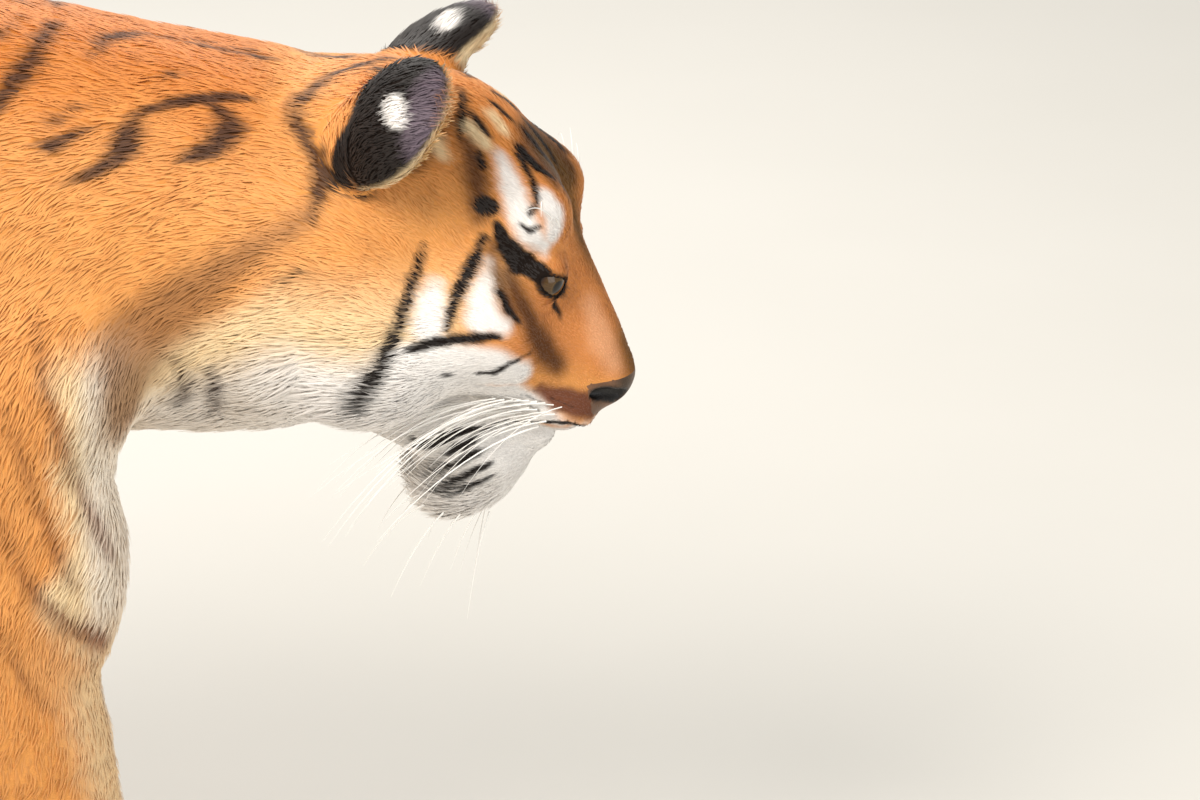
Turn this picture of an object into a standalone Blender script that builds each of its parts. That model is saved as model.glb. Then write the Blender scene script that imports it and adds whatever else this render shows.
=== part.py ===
"""Bengal tiger, adult male, life size, walking with its head lowered.

Metres, +X to the animal's front, +Y to its left, +Z up, the floor at z = 0.
The body is one implicit form: every muscle and bone mass is a named form, and
the forms are joined by a smooth union.  The form is walked once over a grid to
make a closed mesh, the mesh is thinned, and thin cuts part it into the nodes
that a person would name.
"""

import bmesh
import bpy
import numpy as np
from mathutils import Matrix

# ---------------------------------------------------------------- driving sizes
CM = 0.01
CUT_GAP = 0.0005            # kerf between two neighbouring nodes
BODY_CELL = 0.0105          # grid step of the body's surface
HEAD_CELL = 0.0064          # grid step of the head's surface
BODY_SPACE = (-1.100, -0.300, -0.070), (0.740, 0.300, 1.010)     # what the body's grid spans
HEAD_SPACE = (0.560, -0.260, 0.440), (0.940, 0.230, 1.000)       # what the head's grid spans
BODY_FACES = 2700           # triangles kept on the body
HEAD_FACES = 1850           # triangles kept on the head
ORIGIN_SHIFT = np.array([0.078, 0.0, 0.0])   # brings the box's centre to x = y = 0

BACK = 0.865                # height of the back's dip
CROUP = 0.895               # height of the croup

NOSE_TIP = np.array([0.890, -0.045, 0.626])
HEAD_YAW, HEAD_PITCH, HEAD_ROLL = np.radians([7.5, 33.0, -1.0])
HEAD_SCALE = 0.98 * CM      # one unit of the head's own frame

EYE_PLACE = np.array([-11.3, 4.7, 3.9])      # centre of an eyeball, head frame, y outwards
EYE_RADIUS = 1.95
LID_RADIUS = 2.45
EYE_OPENING = (2.3, 1.45, 1.9)               # half sizes across, up and into the lids
EYE_OPENING_AHEAD = 2.7
EYE_TILT = (0.25, 0.0, 1.0)                  # the lids' upright, head frame

# ---------------------------------------------------------------- field helpers


def unit(vector):
    """The vector at length 1."""
    vector = np.asarray(vector, float)
    return vector / np.sqrt(vector @ vector)


def smooth_union(first, second, reach):
    """The lower of two fields, with the crease between them filled over a width of reach."""
    overlap = np.maximum(reach - np.abs(first - second), 0.0) / reach
    return np.minimum(first, second) - overlap * overlap * reach * 0.25


def curve_through(x, places, values):
    """Cubic Hermite curve through the stations, level past both ends."""
    places, values = np.asarray(places, float), np.asarray(values, float)
    if places[0] > places[-1]:
        places, values = places[::-1], values[::-1]
    steps = np.diff(places)
    rises = np.diff(values) / steps
    slopes = np.zeros(len(places))
    slopes[1:-1] = (rises[:-1] * steps[1:] + rises[1:] * steps[:-1]) / (steps[:-1] + steps[1:])
    slopes[0], slopes[-1] = rises[0], rises[-1]
    x = np.clip(x, places[0], places[-1])
    i = np.clip(np.searchsorted(places, x) - 1, 0, len(steps) - 1)
    t = (x - places[i]) / steps[i]
    square, cube = t * t, t * t * t
    return ((2 * cube - 3 * square + 1) * values[i] + (cube - 2 * square + t) * steps[i] * slopes[i]
            + (3 * square - 2 * cube) * values[i + 1] + (cube - square) * steps[i] * slopes[i + 1])


def ellipsoid(p, centre, radii, turn=None):
    """Distance-like field of an ellipsoid; turn's columns are its axes."""
    q = p - np.asarray(centre, float)
    if turn is not None:
        q = q @ turn
    radii = np.asarray(radii, float)
    near = np.sqrt(((q / radii) ** 2).sum(-1))
    far = np.sqrt(((q / radii ** 2) ** 2).sum(-1))
    return near * (near - 1.0) / np.maximum(far, 1e-9)


def limb(p, start, end, start_radius, end_radius, flat=(1.0, 1.0, 1.0)):
    """A tapered round bar; flat squeezes it along an axis (below 1 is thinner)."""
    flat = np.asarray(flat, float)
    q = (p - np.asarray(start, float)) / flat
    axis = (np.asarray(end, float) - np.asarray(start, float)) / flat
    t = np.clip((q @ axis) / (axis @ axis), 0.0, 1.0)
    gap = np.sqrt(((q - t[..., None] * axis) ** 2).sum(-1))
    return (gap - (start_radius + t * (end_radius - start_radius))) * flat.min()


def barrel(along, across, up, stations, power=2.3):
    """A body with a rounded section at each station: (place, top, bottom, half width)."""
    place, top, bottom, half = (np.array(column, float) for column in zip(*stations))
    high, low = curve_through(along, place, top), curve_through(along, place, bottom)
    wide = curve_through(along, place, half)
    tall = (high - low) / 2
    u, v = np.abs(across) / wide, np.abs(up - (high + low) / 2) / tall
    section = ((u ** power + v ** power) ** (1 / power) - 1.0) * np.minimum(wide, tall)
    ahead = np.maximum(place.min() - along, along - place.max())
    rounding = 0.35 * wide
    both = np.maximum(rounding - np.abs(section - ahead), 0.0) / rounding
    return np.maximum(section, ahead) + both * both * rounding * 0.25


def turn_about(axis, angle):
    """Rotation matrix about axis 0, 1 or 2."""
    c, s = np.cos(angle), np.sin(angle)
    matrix = np.eye(3)
    i, j = (axis + 1) % 3, (axis + 2) % 3
    matrix[i, i], matrix[i, j], matrix[j, i], matrix[j, j] = c, -s, s, c
    return matrix


EYE_GAZE = unit((0.80, 0.56, 0.22))
EYE_ACROSS = unit(np.cross(EYE_TILT, EYE_GAZE))
EYE_FRAME = np.stack([EYE_ACROSS, np.cross(EYE_GAZE, EYE_ACROSS), EYE_GAZE], axis=1)
HEAD_TURN = turn_about(2, -HEAD_YAW) @ turn_about(1, HEAD_PITCH) @ turn_about(0, HEAD_ROLL)


def to_head(p):
    """World points in the head's frame: nose tip at 0, x forward, y left, z up, centimetres."""
    return (p - NOSE_TIP) @ HEAD_TURN / HEAD_SCALE


def from_head(q):
    """Head-frame points in the world."""
    return NOSE_TIP + (np.asarray(q, float) * HEAD_SCALE) @ HEAD_TURN.T


# ---------------------------------------------------------------- the animal's forms
# Every joint of a leg is given for the right side; the left side mirrors y and has its own stride.

SKULL = (        # head frame: place, top, bottom, half width
    (-0.8, -0.6, -4.6, 2.4), (-3.0, 1.6, -6.6, 3.9), (-6.0, 3.8, -7.8, 4.7),
    (-9.5, 6.3, -8.6, 5.3), (-12.5, 8.8, -9.2, 6.2), (-15.5, 11.2, -9.6, 7.6),
    (-19.0, 12.8, -10.0, 8.8), (-23.0, 13.2, -10.3, 9.6), (-28.0, 11.6, -10.6, 9.8),
    (-33.0, 9.4, -11.0, 9.4),
)
NECK = (         # world x: top, bottom, half width
    (0.300, 0.930, 0.540, 0.140), (0.420, 0.915, 0.562, 0.152), (0.520, 0.894, 0.566, 0.150),
    (0.620, 0.874, 0.570, 0.145), (0.700, 0.852, 0.590, 0.128),
)
TRUNK = (        # world x: top, bottom, half width
    (0.430, 0.860, 0.510, 0.125), (0.340, 0.915, 0.474, 0.160), (0.220, 0.918, 0.452, 0.186),
    (0.080, 0.885, 0.448, 0.203), (-0.080, BACK, 0.452, 0.206), (-0.230, 0.872, 0.470, 0.194),
    (-0.360, 0.890, 0.510, 0.172), (-0.490, CROUP, 0.580, 0.158), (-0.600, 0.860, 0.650, 0.122),
    (-0.665, 0.815, 0.700, 0.080),
)
TAIL = (         # down the tail: x, y, z, radius
    (-0.600, 0.000, 0.815, 0.052), (-0.690, 0.004, 0.745, 0.040), (-0.765, 0.012, 0.620, 0.034),
    (-0.800, 0.022, 0.490, 0.031), (-0.820, 0.036, 0.360, 0.030), (-0.858, 0.052, 0.250, 0.029),
    (-0.920, 0.066, 0.190, 0.027), (-0.988, 0.074, 0.198, 0.024), (-1.030, 0.076, 0.245, 0.017),
)
FORE_RIGHT = {"shoulder": (0.418, -0.140, 0.640), "elbow": (0.368, -0.158, 0.460),
              "wrist": (0.480, -0.138, 0.155), "paw": (0.528, -0.134, 0.0), "heading": 0.03}
FORE_LEFT = {"shoulder": (0.385, 0.138, 0.640), "elbow": (0.275, 0.158, 0.470),
             "wrist": (0.212, 0.132, 0.158), "paw": (0.250, 0.128, 0.0), "heading": -0.05}
HIND_RIGHT = {"hip": (-0.480, -0.095, 0.735), "knee": (-0.400, -0.150, 0.480),
              "hock": (-0.655, -0.120, 0.265), "heel": (-0.612, -0.118, 0.090),
              "paw": (-0.560, -0.118, 0.0), "heading": 0.06}
HIND_LEFT = {"hip": (-0.465, 0.095, 0.735), "knee": (-0.300, 0.150, 0.490),
             "hock": (-0.440, 0.124, 0.268), "heel": (-0.348, 0.118, 0.088),
             "paw": (-0.290, 0.118, 0.0), "heading": -0.06}


def head_form(p):
    """The head and its ruff without the ears, in world metres."""
    q = to_head(p)
    mirrored = q.copy()
    mirrored[..., 1] = np.abs(q[..., 1])

    def sides(centre, radii, turn=None):
        return ellipsoid(mirrored, centre, radii, turn)

    d = barrel(q[..., 0], q[..., 1], q[..., 2], SKULL, 2.1)
    bridge = limb(q, (-2.8, 0, -1.0), (-12.0, 0, 3.9), 2.3, 3.3)
    d = smooth_union(d, bridge, 1.6)
    d = smooth_union(d, ellipsoid(q, (-1.8, 0, -1.8), (1.9, 2.8, 2.1)), 1.0)
    d = smooth_union(d, sides((-5.2, 3.3, -4.8), (4.2, 3.3, 3.1)), 1.4)
    d = smooth_union(d, sides((-9.8, 4.2, -3.4), (4.8, 3.4, 4.2)), 2.0)
    d = smooth_union(d, sides((-15.4, 4.2, 7.0), (4.2, 3.4, 3.4), turn_about(1, -0.5)), 3.6)
    d = smooth_union(d, sides((-14.8, 6.8, -1.8), (7.0, 4.9, 5.8)), 3.0)
    d = smooth_union(d, sides((-19.6, 8.8, -7.4), (7.4, 6.2, 8.4), turn_about(1, 0.30)), 3.0)
    d = smooth_union(d, sides((-26.0, 8.6, -6.0), (7.8, 6.4, 10.0)), 3.5)
    d = smooth_union(d, jaw_form(q, mirrored), 1.4)
    d = smooth_union(d, sides(EYE_PLACE, (LID_RADIUS,) * 3), 0.9)
    opening = EYE_PLACE + EYE_GAZE * EYE_OPENING_AHEAD
    d = -smooth_union(-d, sides(opening, EYE_OPENING, EYE_FRAME), 0.35)
    return d * HEAD_SCALE


def jaw_form(q, mirrored):
    """Lower lip, chin with its beard, and the two jaw branches, head frame."""
    d = ellipsoid(q, (-5.6, 0, -8.8), (3.9, 3.8, 3.0))
    d = smooth_union(d, ellipsoid(q, (-7.2, 0, -13.8), (4.4, 4.1, 6.2)), 1.8)
    branch = limb(mirrored, (-8.0, 1.8, -10.8), (-19.0, 6.4, -9.8), 3.9, 5.2)
    return smooth_union(d, branch, 2.6)


EAR_BASE = np.array([-28.6, 7.6, 6.2])
EAR_TIP = np.array([-25.0, 13.2, 14.8])
EAR_SHIFT = {-1: (-0.6, 0.0, -0.4), 1: (-0.2, 0.0, -1.2)}             # the left ear is held further on
EAR_OPENING = {-1: (0.75, -0.55, -0.35), 1: (0.93, 0.05, -0.36)}   # y outwards
EAR_SIZE = (5.5, 2.6, 6.0)                                         # half width, depth and length


def ear_frame(side):
    """Base point, axes (across, opening, along) and length of one ear, head frame, y outwards."""
    along = EAR_TIP - EAR_BASE
    length = np.sqrt(along @ along)
    along = along / length
    out = np.array(EAR_OPENING[side])
    out = out - (out @ along) * along
    out = out / np.sqrt(out @ out)
    return EAR_BASE + EAR_SHIFT[side], np.stack([np.cross(along, out), out, along], axis=1), length


def ear_form(q, side):
    """A rounded ear: a shallow cup whose hollow faces its opening direction, head frame."""
    mirrored = q * (1, side, 1)
    base, frame, length = ear_frame(side)
    out, along = frame[:, 1], frame[:, 2]
    centre = base + along * (length - EAR_SIZE[2] + 0.2)
    shell = ellipsoid(mirrored, centre, EAR_SIZE, frame)
    hollow = ellipsoid(mirrored, centre + out * 2.3 + along * 0.5, (4.2, 2.4, 5.0), frame)
    return -smooth_union(-shell, hollow, 0.9)


def chain(p, points, radii, flat=(1.0, 1.0, 1.0), pieces=4):
    """A round bar along a smooth path through the points, its radius easing between them."""
    points = np.asarray(points, float)
    knots = np.arange(len(points), dtype=float)
    fine = np.linspace(0, knots[-1], pieces * (len(points) - 1) + 1)
    path = np.stack([curve_through(fine, knots, points[:, i]) for i in range(3)], 1)
    size = curve_through(fine, knots, radii)
    d = limb(p, path[0], path[1], size[0], size[1], flat)
    for i in range(1, len(path) - 1):
        d = np.minimum(d, limb(p, path[i], path[i + 1], size[i], size[i + 1], flat))
    return d


def fore_leg(p, leg, side):
    """Upper arm, forearm and paw of a foreleg."""
    shoulder, elbow, wrist, paw = (np.array(leg[name]) for name in ("shoulder", "elbow", "wrist", "paw"))
    down = wrist - elbow
    d = chain(p, (elbow + (0.004, 0, 0.02), elbow + 0.20 * down + (0.012, 0, 0), elbow + 0.62 * down, wrist,
                  paw + (-0.026, 0, 0.075)), (0.084, 0.082, 0.063, 0.055, 0.054), (1, 0.86, 1))
    d = smooth_union(d, ellipsoid(p, elbow + (-0.052, 0, 0.004), (0.034, 0.034, 0.045)), 0.05)
    upper = limb(p, shoulder, elbow + (0.025, 0, 0.05), 0.090, 0.078, (1, 0.80, 1))
    d = smooth_union(d, upper, 0.03)
    lobe = elbow + (0.060, side * -0.004, 0.050)
    d = smooth_union(d, ellipsoid(p, lobe, (0.080, 0.062, 0.124), turn_about(1, 0.10)), 0.014)
    triceps = shoulder + (-0.095, side * 0.006, -0.065)
    d = smooth_union(d, ellipsoid(p, triceps, (0.095, 0.056, 0.118)), 0.05)
    return smooth_union(d, paw_form(p, paw, leg["heading"], 1.0), 0.022)


def paw_form(p, paw, heading, size):
    """Four toes ahead of a heel pad, standing on the floor."""
    q = (p - paw) @ turn_about(2, heading)
    d = ellipsoid(q, (-0.022 * size, 0, 0.037), (0.068 * size, 0.061 * size, 0.046))
    for spread, ahead in ((-0.049, 0.022), (-0.0175, 0.048), (0.0175, 0.048), (0.049, 0.022)):
        toe = np.array([ahead, spread, 0.030]) * (size, size, 1.0)
        d = smooth_union(d, ellipsoid(q, toe, (0.043 * size, 0.0225 * size, 0.034)), 0.010)
    return d


def hind_leg(p, leg, side):
    """Thigh, shank, long foot and paw of a hind leg."""
    hip, knee, hock, heel, paw = (np.array(leg[name]) for name in ("hip", "knee", "hock", "heel", "paw"))
    shank = hock - knee
    d = limb(p, hip, knee, 0.135, 0.084, (1, 0.60, 1))
    ham = hip + (-0.110, side * 0.004, -0.030)
    d = smooth_union(d, chain(p, (ham, 0.62 * ham + 0.38 * hock, knee + 0.72 * shank + (-0.012, 0, 0.03)),
                              (0.085, 0.078, 0.044), (1, 0.66, 1)), 0.06)
    d = smooth_union(d, chain(p, (knee, knee + 0.42 * shank + (-0.008, 0, 0.012), knee + 0.78 * shank, hock),
                              (0.092, 0.082, 0.055, 0.048), (1, 0.76, 1)), 0.04)
    foot = chain(p, (hock + (-0.006, 0, 0.006), 0.5 * (hock + heel), heel, paw + (-0.022, 0, 0.062)),
                 (0.050, 0.045, 0.044, 0.049), (1, 0.92, 1))
    d = smooth_union(d, foot, 0.025)
    return smooth_union(d, paw_form(p, paw, leg["heading"], 0.93), 0.022)


def tail_form(p):
    """A round tail along a smooth path, thinner towards its tip."""
    path = np.array(TAIL)
    return chain(p, path[:, :3], path[:, 3])


def torso_form(p):
    """Trunk, neck, breast, shoulder blades and haunches."""
    x, y, z = p[..., 0], p[..., 1], p[..., 2]
    d = barrel(x, y, z, TRUNK, 2.2)
    d = smooth_union(d, barrel(x, y, z, NECK, 2.1), 0.04)
    d = smooth_union(d, ellipsoid(p, (0.400, 0, 0.560), (0.090, 0.110, 0.120)), 0.03)
    for side, ahead in ((-1, 0.0), (1, -0.03)):
        blade = limb(p, (0.285 + ahead, side * 0.064, 0.882), (0.400 + ahead, side * 0.132, 0.660),
                     0.056, 0.094, (1, 0.62, 1))
        d = smooth_union(d, blade, 0.05)
        d = smooth_union(d, ellipsoid(p, (-0.44, side * 0.095, 0.775), (0.140, 0.072, 0.105)), 0.05)
    return d


def body_form(p):
    """Everything behind the head."""
    d = torso_form(p)
    d = smooth_union(d, fore_leg(p, FORE_RIGHT, -1), 0.035)
    d = smooth_union(d, fore_leg(p, FORE_LEFT, 1), 0.035)
    d = smooth_union(d, hind_leg(p, HIND_RIGHT, -1), 0.045)
    d = smooth_union(d, hind_leg(p, HIND_LEFT, 1), 0.045)
    return smooth_union(d, tail_form(p), 0.05)


def animal_form(p):
    """The whole coat's outer form: head, ears and body in one field."""
    d = smooth_union(body_form(p), head_form(p), 0.035)
    q = to_head(p)
    for side in (-1, 1):
        d = smooth_union(d, ear_form(q, side) * HEAD_SCALE, 0.018)
    return d


# ---------------------------------------------------------------- from a field to a mesh


def surface_net(form, low, high, cell):
    """Closed quad surface of form = 0: one point in each crossed cell, one quad on each crossed edge.

    A coarse pass finds the cells near the surface, and only those are worked out finely.
    """
    low, high = np.asarray(low, float), np.asarray(high, float)
    coarse = 4
    blocks = np.ceil((high - low) / (cell * coarse)).astype(int)
    counts = blocks * coarse
    centres = np.stack(np.meshgrid(*[(np.arange(n) + 0.5) * coarse * cell + low[i]
                                     for i, n in enumerate(blocks)], indexing="ij"), -1)
    rough = form(centres.reshape(-1, 3)).reshape(blocks)
    close = np.abs(rough) < coarse * cell * 1.6
    grid = np.where(rough < 0, -1.0, 1.0)
    for axis in range(3):
        grid = np.repeat(grid, coarse, axis)
        close = np.repeat(close, coarse, axis)
    where = np.argwhere(close)
    for start in range(0, len(where), 400000):
        part = where[start:start + 400000]
        grid[part[:, 0], part[:, 1], part[:, 2]] = form(low + part * cell)
    index, points = [], []
    quads = []
    for axis in range(3):
        ahead = np.take(grid, np.arange(1, counts[axis]), axis)
        behind = np.take(grid, np.arange(0, counts[axis] - 1), axis)
        crossed = np.argwhere((ahead < 0) != (behind < 0))
        crossed = crossed[np.all((crossed > 0) & (crossed < counts - 2), axis=1)]
        a = behind[crossed[:, 0], crossed[:, 1], crossed[:, 2]]
        b = ahead[crossed[:, 0], crossed[:, 1], crossed[:, 2]]
        place = crossed.astype(float)
        place[:, axis] += a / (a - b)
        u, v = (axis + 1) % 3, (axis + 2) % 3
        ring = []
        for du, dv in ((-1, -1), (0, -1), (0, 0), (-1, 0)):
            of_cell = crossed.copy()
            of_cell[:, u] += du
            of_cell[:, v] += dv
            ring.append(np.ravel_multi_index(of_cell.T, counts))
            index.append(ring[-1])
            points.append(place)
        quad = np.stack(ring, 1)
        quad[a >= 0] = quad[a >= 0][:, ::-1]
        quads.append(quad)
    index, points, quads = np.concatenate(index), np.concatenate(points), np.concatenate(quads)
    names, where = np.unique(index, return_inverse=True)
    total = np.bincount(where)
    mean = np.stack([np.bincount(where, points[:, i]) / total for i in range(3)], 1)
    return low + mean * cell, np.searchsorted(names, quads)


def settle(points, form, steps=2):
    """Points moved along the field's slope onto form = 0."""
    reach = 0.0008
    for _ in range(steps):
        value = form(points)
        slope = np.stack([form(points + reach * np.eye(3)[i]) - form(points - reach * np.eye(3)[i])
                          for i in range(3)], 1) / (2 * reach)
        move = value / np.maximum((slope ** 2).sum(1), 0.25)
        points = points - np.clip(move, -0.004, 0.004)[:, None] * slope
    return points


# ---------------------------------------------------------------- Blender objects


def node_material(name, colour, roughness):
    """A plain Principled material."""
    material = bpy.data.materials.new(name)
    material.use_nodes = True
    shader = material.node_tree.nodes["Principled BSDF"]
    shader.inputs["Base Color"].default_value = (*colour, 1.0)
    shader.inputs["Roughness"].default_value = roughness
    shader.inputs["Metallic"].default_value = 0.0
    material.diffuse_color = (*colour, 1.0)
    return material


def mesh_object(name, points, faces, collection):
    """A new object from points and faces."""
    mesh = bpy.data.meshes.new(name)
    mesh.from_pydata(np.asarray(points).tolist(), [], [list(map(int, face)) for face in faces])
    mesh.update()
    made = bpy.data.objects.new(name, mesh)
    collection.objects.link(made)
    return made


def evaluated_copy(source, name):
    """The object's mesh as its modifiers leave it, in a plain object that takes its place."""
    bpy.context.view_layer.update()
    graph = bpy.context.evaluated_depsgraph_get()
    mesh = bpy.data.meshes.new_from_object(source.evaluated_get(graph))
    made = bpy.data.objects.new(name, mesh)
    source.users_collection[0].objects.link(made)
    bpy.data.objects.remove(source)
    return made


def thinned(source, faces):
    """The mesh thinned to about this many triangles."""
    modifier = source.modifiers.new("thin", "DECIMATE")
    triangles = 2 * len(source.data.polygons)
    modifier.ratio = min(1.0, faces / triangles)
    return evaluated_copy(source, source.name)


def trimmed(target, point, normal):
    """The mesh cut by a plane, with the side that the normal points to removed and the cut closed."""
    shape = bmesh.new()
    shape.from_mesh(target.data)
    parts = shape.verts[:] + shape.edges[:] + shape.faces[:]
    bmesh.ops.bisect_plane(shape, geom=parts, dist=1e-7, plane_co=point, plane_no=normal, clear_outer=True)
    rim = [edge for edge in shape.edges if edge.is_boundary]
    bmesh.ops.holes_fill(shape, edges=rim, sides=0)
    bmesh.ops.triangulate(shape, faces=[face for face in shape.faces if len(face.verts) > 4])
    bmesh.ops.recalc_face_normals(shape, faces=shape.faces[:])
    shape.to_mesh(target.data)
    shape.free()


def curtain(name, first, second, collection):
    """A thin wall between two matching rows of points, as thick as the kerf."""
    first, second = np.asarray(first, float), np.asarray(second, float)
    steps = np.gradient((first + second) / 2, axis=0)
    normals = np.cross(steps, second - first)
    normals = normals / np.sqrt((normals ** 2).sum(1))[:, None]
    half = normals * CUT_GAP / 2
    count = len(first)
    points = np.concatenate([first - half, second - half, first + half, second + half])
    faces = []
    for i in range(count - 1):
        a, b = i, i + count
        c, d = i + 2 * count, i + 3 * count
        faces += [(a, a + 1, b + 1, b), (c, d, d + 1, c + 1), (a, c, c + 1, a + 1), (b, b + 1, d + 1, d)]
    last = count - 1
    faces += [(0, count, 3 * count, 2 * count), (last, last + 2 * count, last + 3 * count, last + count)]
    made = mesh_object(name, points, faces, collection)
    shape = bmesh.new()
    shape.from_mesh(made.data)
    bmesh.ops.triangulate(shape, faces=shape.faces[:])
    bmesh.ops.recalc_face_normals(shape, faces=shape.faces[:])
    shape.to_mesh(made.data)
    shape.free()
    made.hide_render = True
    made.display_type = "WIRE"
    return made


def plate(name, centre, normal, across, half_across, half_along, collection):
    """A flat thin cut through centre: across is one direction in its plane."""
    centre, normal, across = (np.asarray(value, float) for value in (centre, normal, across))
    normal = normal / np.sqrt(normal @ normal)
    across = across - (across @ normal) * normal
    across = across / np.sqrt(across @ across)
    along = np.cross(normal, across)
    first = [centre - across * half_across - along * half_along, centre + across * half_across - along * half_along]
    second = [point + along * 2 * half_along for point in first]
    return curtain(name, first, second, collection)


def cut(target, cutters):
    """The target after one exact Boolean difference for each cutter."""
    for cutter in cutters:
        modifier = target.modifiers.new(cutter.name, "BOOLEAN")
        modifier.operation = "DIFFERENCE"
        modifier.object = cutter
    return evaluated_copy(target, target.name)


def loose_pieces(target, collection):
    """Each connected piece of the mesh as its own object; the source is removed."""
    shape = bmesh.new()
    shape.from_mesh(target.data)
    shape.verts.ensure_lookup_table()
    seen = np.zeros(len(shape.verts), bool)
    pieces = []
    for start in shape.verts:
        if seen[start.index]:
            continue
        group, stack = [], [start]
        seen[start.index] = True
        while stack:
            vertex = stack.pop()
            group.append(vertex.index)
            for edge in vertex.link_edges:
                other = edge.other_vert(vertex)
                if not seen[other.index]:
                    seen[other.index] = True
                    stack.append(other)
        pieces.append(set(group))
    made = []
    for number, group in enumerate(pieces):
        order = sorted(group)
        place = {index: i for i, index in enumerate(order)}
        points = [shape.verts[index].co[:] for index in order]
        faces = [[place[v.index] for v in face.verts] for face in shape.faces if face.verts[0].index in group]
        made.append(mesh_object(f"{target.name}_piece_{number}", points, faces, collection))
    shape.free()
    bpy.data.objects.remove(target)
    return made


def middle(piece):
    """Mean of a piece's face centres weighted by area."""
    areas = np.array([face.area for face in piece.data.polygons])
    centres = np.array([face.center[:] for face in piece.data.polygons])
    return (centres * areas[:, None]).sum(0) / areas.sum()


# ---------------------------------------------------------------- the cuts
HEAD_CUT = 0.630            # the upright plane between neck and head, ahead of both forepaws
ELBOW_CUT = 0.449           # height of the cut between upper and lower foreleg
EAR_CUT = 4.0               # how far up its axis an ear is cut from the head, head frame
SPARE = 0.015               # how far each surface runs on past that plane before it is trimmed


def leg_curtain(name, low, high, side, collection):
    """Parts a leg from the trunk: a wall that goes in behind it, along its inner side and out ahead of it.

    low and high give, for the wall's lower and upper edge: z, rear x, front x and inner y.
    """
    reach = 0.270
    rows = []
    for z, rear, front, inner in (low, high):
        rows.append([(rear, side * reach, z), (rear, side * inner, z), (front, side * inner, z), (front, side * reach, z)])
    return curtain(name, rows[0], rows[1], collection)


def thigh_curtain(name, low, high, side, collection):
    """Parts a thigh from the pelvis: a wall along its inner side from behind the rump and out ahead of it."""
    reach = 0.270
    rows = []
    for z, rear, front, inner in (low, high):
        rows.append([(rear, side * inner, z), (front, side * inner, z), (front + 0.01, side * reach, z)])
    return curtain(name, rows[0], rows[1], collection)


def leg_plates(name, joints, collection):
    """The cross cuts of a leg: for each, its name, centre, normal and half sizes."""
    return [plate(f"cut_{name}_{joint}", centre, normal, (1, 0, 0), half_length, half_width, collection)
            for joint, centre, normal, half_length, half_width in joints]


def body_cutters(collection):
    """Every cut behind the head."""
    made = [
        leg_curtain("cut_shoulder_right", (0.40, 0.195, 0.545, 0.060), (1.00, 0.185, 0.400, 0.118), -1, collection),
        leg_curtain("cut_shoulder_left", (0.40, 0.110, 0.500, 0.060), (1.00, 0.120, 0.360, 0.118), 1, collection),
        thigh_curtain("cut_thigh_right", (0.40, -0.800, -0.285, 0.012), (1.00, -0.800, -0.400, 0.105), -1, collection),
        thigh_curtain("cut_thigh_left", (0.40, -0.800, -0.190, 0.012), (1.00, -0.800, -0.360, 0.105), 1, collection),
        plate("cut_neck", (0.500, 0, 0.720), (0.98, 0, 0.19), (0, 1, 0), 0.200, 0.250, collection),
        plate("cut_waist", (0.000, 0, 0.680), (1, 0, 0), (0, 1, 0), 0.260, 0.280, collection),
        plate("cut_tail_root", (-0.724, 0.007, 0.694), (0.51, -0.05, 0.86), (0, 1, 0), 0.058, 0.058, collection),
        plate("cut_tail_middle", (-0.800, 0.022, 0.490), (0.2, 0, 1), (0, 1, 0), 0.050, 0.050, collection),
        plate("cut_tail_end", (-0.858, 0.052, 0.250), (0.5, 0, 0.87), (0, 1, 0), 0.050, 0.050, collection),
    ]
    for leg, name, side in ((FORE_RIGHT, "fore_right", -1), (FORE_LEFT, "fore_left", 1)):
        elbow, wrist, paw = (np.array(leg[key]) for key in ("elbow", "wrist", "paw"))
        ankle = 0.55 * wrist + 0.45 * paw
        made += leg_plates(name, (
            ("elbow", (elbow[0] - 0.002, elbow[1] + side * 0.012, ELBOW_CUT), (0.03, side * 0.01, 1), 0.195, 0.116),
            ("wrist", ankle + (0, 0, 0.012), (0.25, 0, 0.97), 0.096, 0.088),
        ), collection)
    for leg, name, side in ((HIND_RIGHT, "hind_right", -1), (HIND_LEFT, "hind_left", 1)):
        knee, hock, heel = (np.array(leg[key]) for key in ("knee", "hock", "heel"))
        made += leg_plates(name, (
            ("knee", (0.5 * (knee[0] + hock[0]), side * 0.135, 0.430), (0.16, 0, 0.99), 0.215, 0.115),
            ("hock", hock + (0.010, 0, -0.004), (0.30, 0, 0.95), 0.090, 0.078),
            ("heel", heel + (0.012, 0, 0.008), (0.15, 0, 0.99), 0.094, 0.086),
        ), collection)
    return made


def head_cutters(collection):
    """The mouth, the nose leather, the ears and the eye sockets."""
    across = 17.0
    mouth = [(1.5, -6.9), (-4.0, -7.3), (-8.5, -8.0), (-12.2, -9.3), (-15.0, -13.5), (-16.5, -23.0)]
    nose = [(-0.2, 2.4), (-1.4, -0.4), (-2.0, -3.3), (1.0, -4.5)]
    made = []
    for name, outline, half in (("cut_mouth", mouth, across), ("cut_nose", nose, 6.0)):
        first = from_head([(f, -half, u) for f, u in outline])
        second = from_head([(f, half, u) for f, u in outline])
        made.append(curtain(name, first, second, collection))
    for side, word in ((-1, "right"), (1, "left")):
        base, frame, _ = ear_frame(side)
        mirror = np.array([1, side, 1])
        centre = from_head((base + frame[:, 2] * EAR_CUT) * mirror)
        normal = HEAD_TURN @ (np.array([0.0, 0.70, 0.71]) * mirror)
        made.append(plate(f"cut_ear_{word}", centre, normal, HEAD_TURN[:, 0], 0.074, 0.068, collection))
        socket = eye_ball(f"cut_eye_{word}", side, EYE_RADIUS * HEAD_SCALE + 0.0004, collection)
        socket.hide_render = True
        socket.display_type = "WIRE"
        made.append(socket)
    return made


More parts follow.
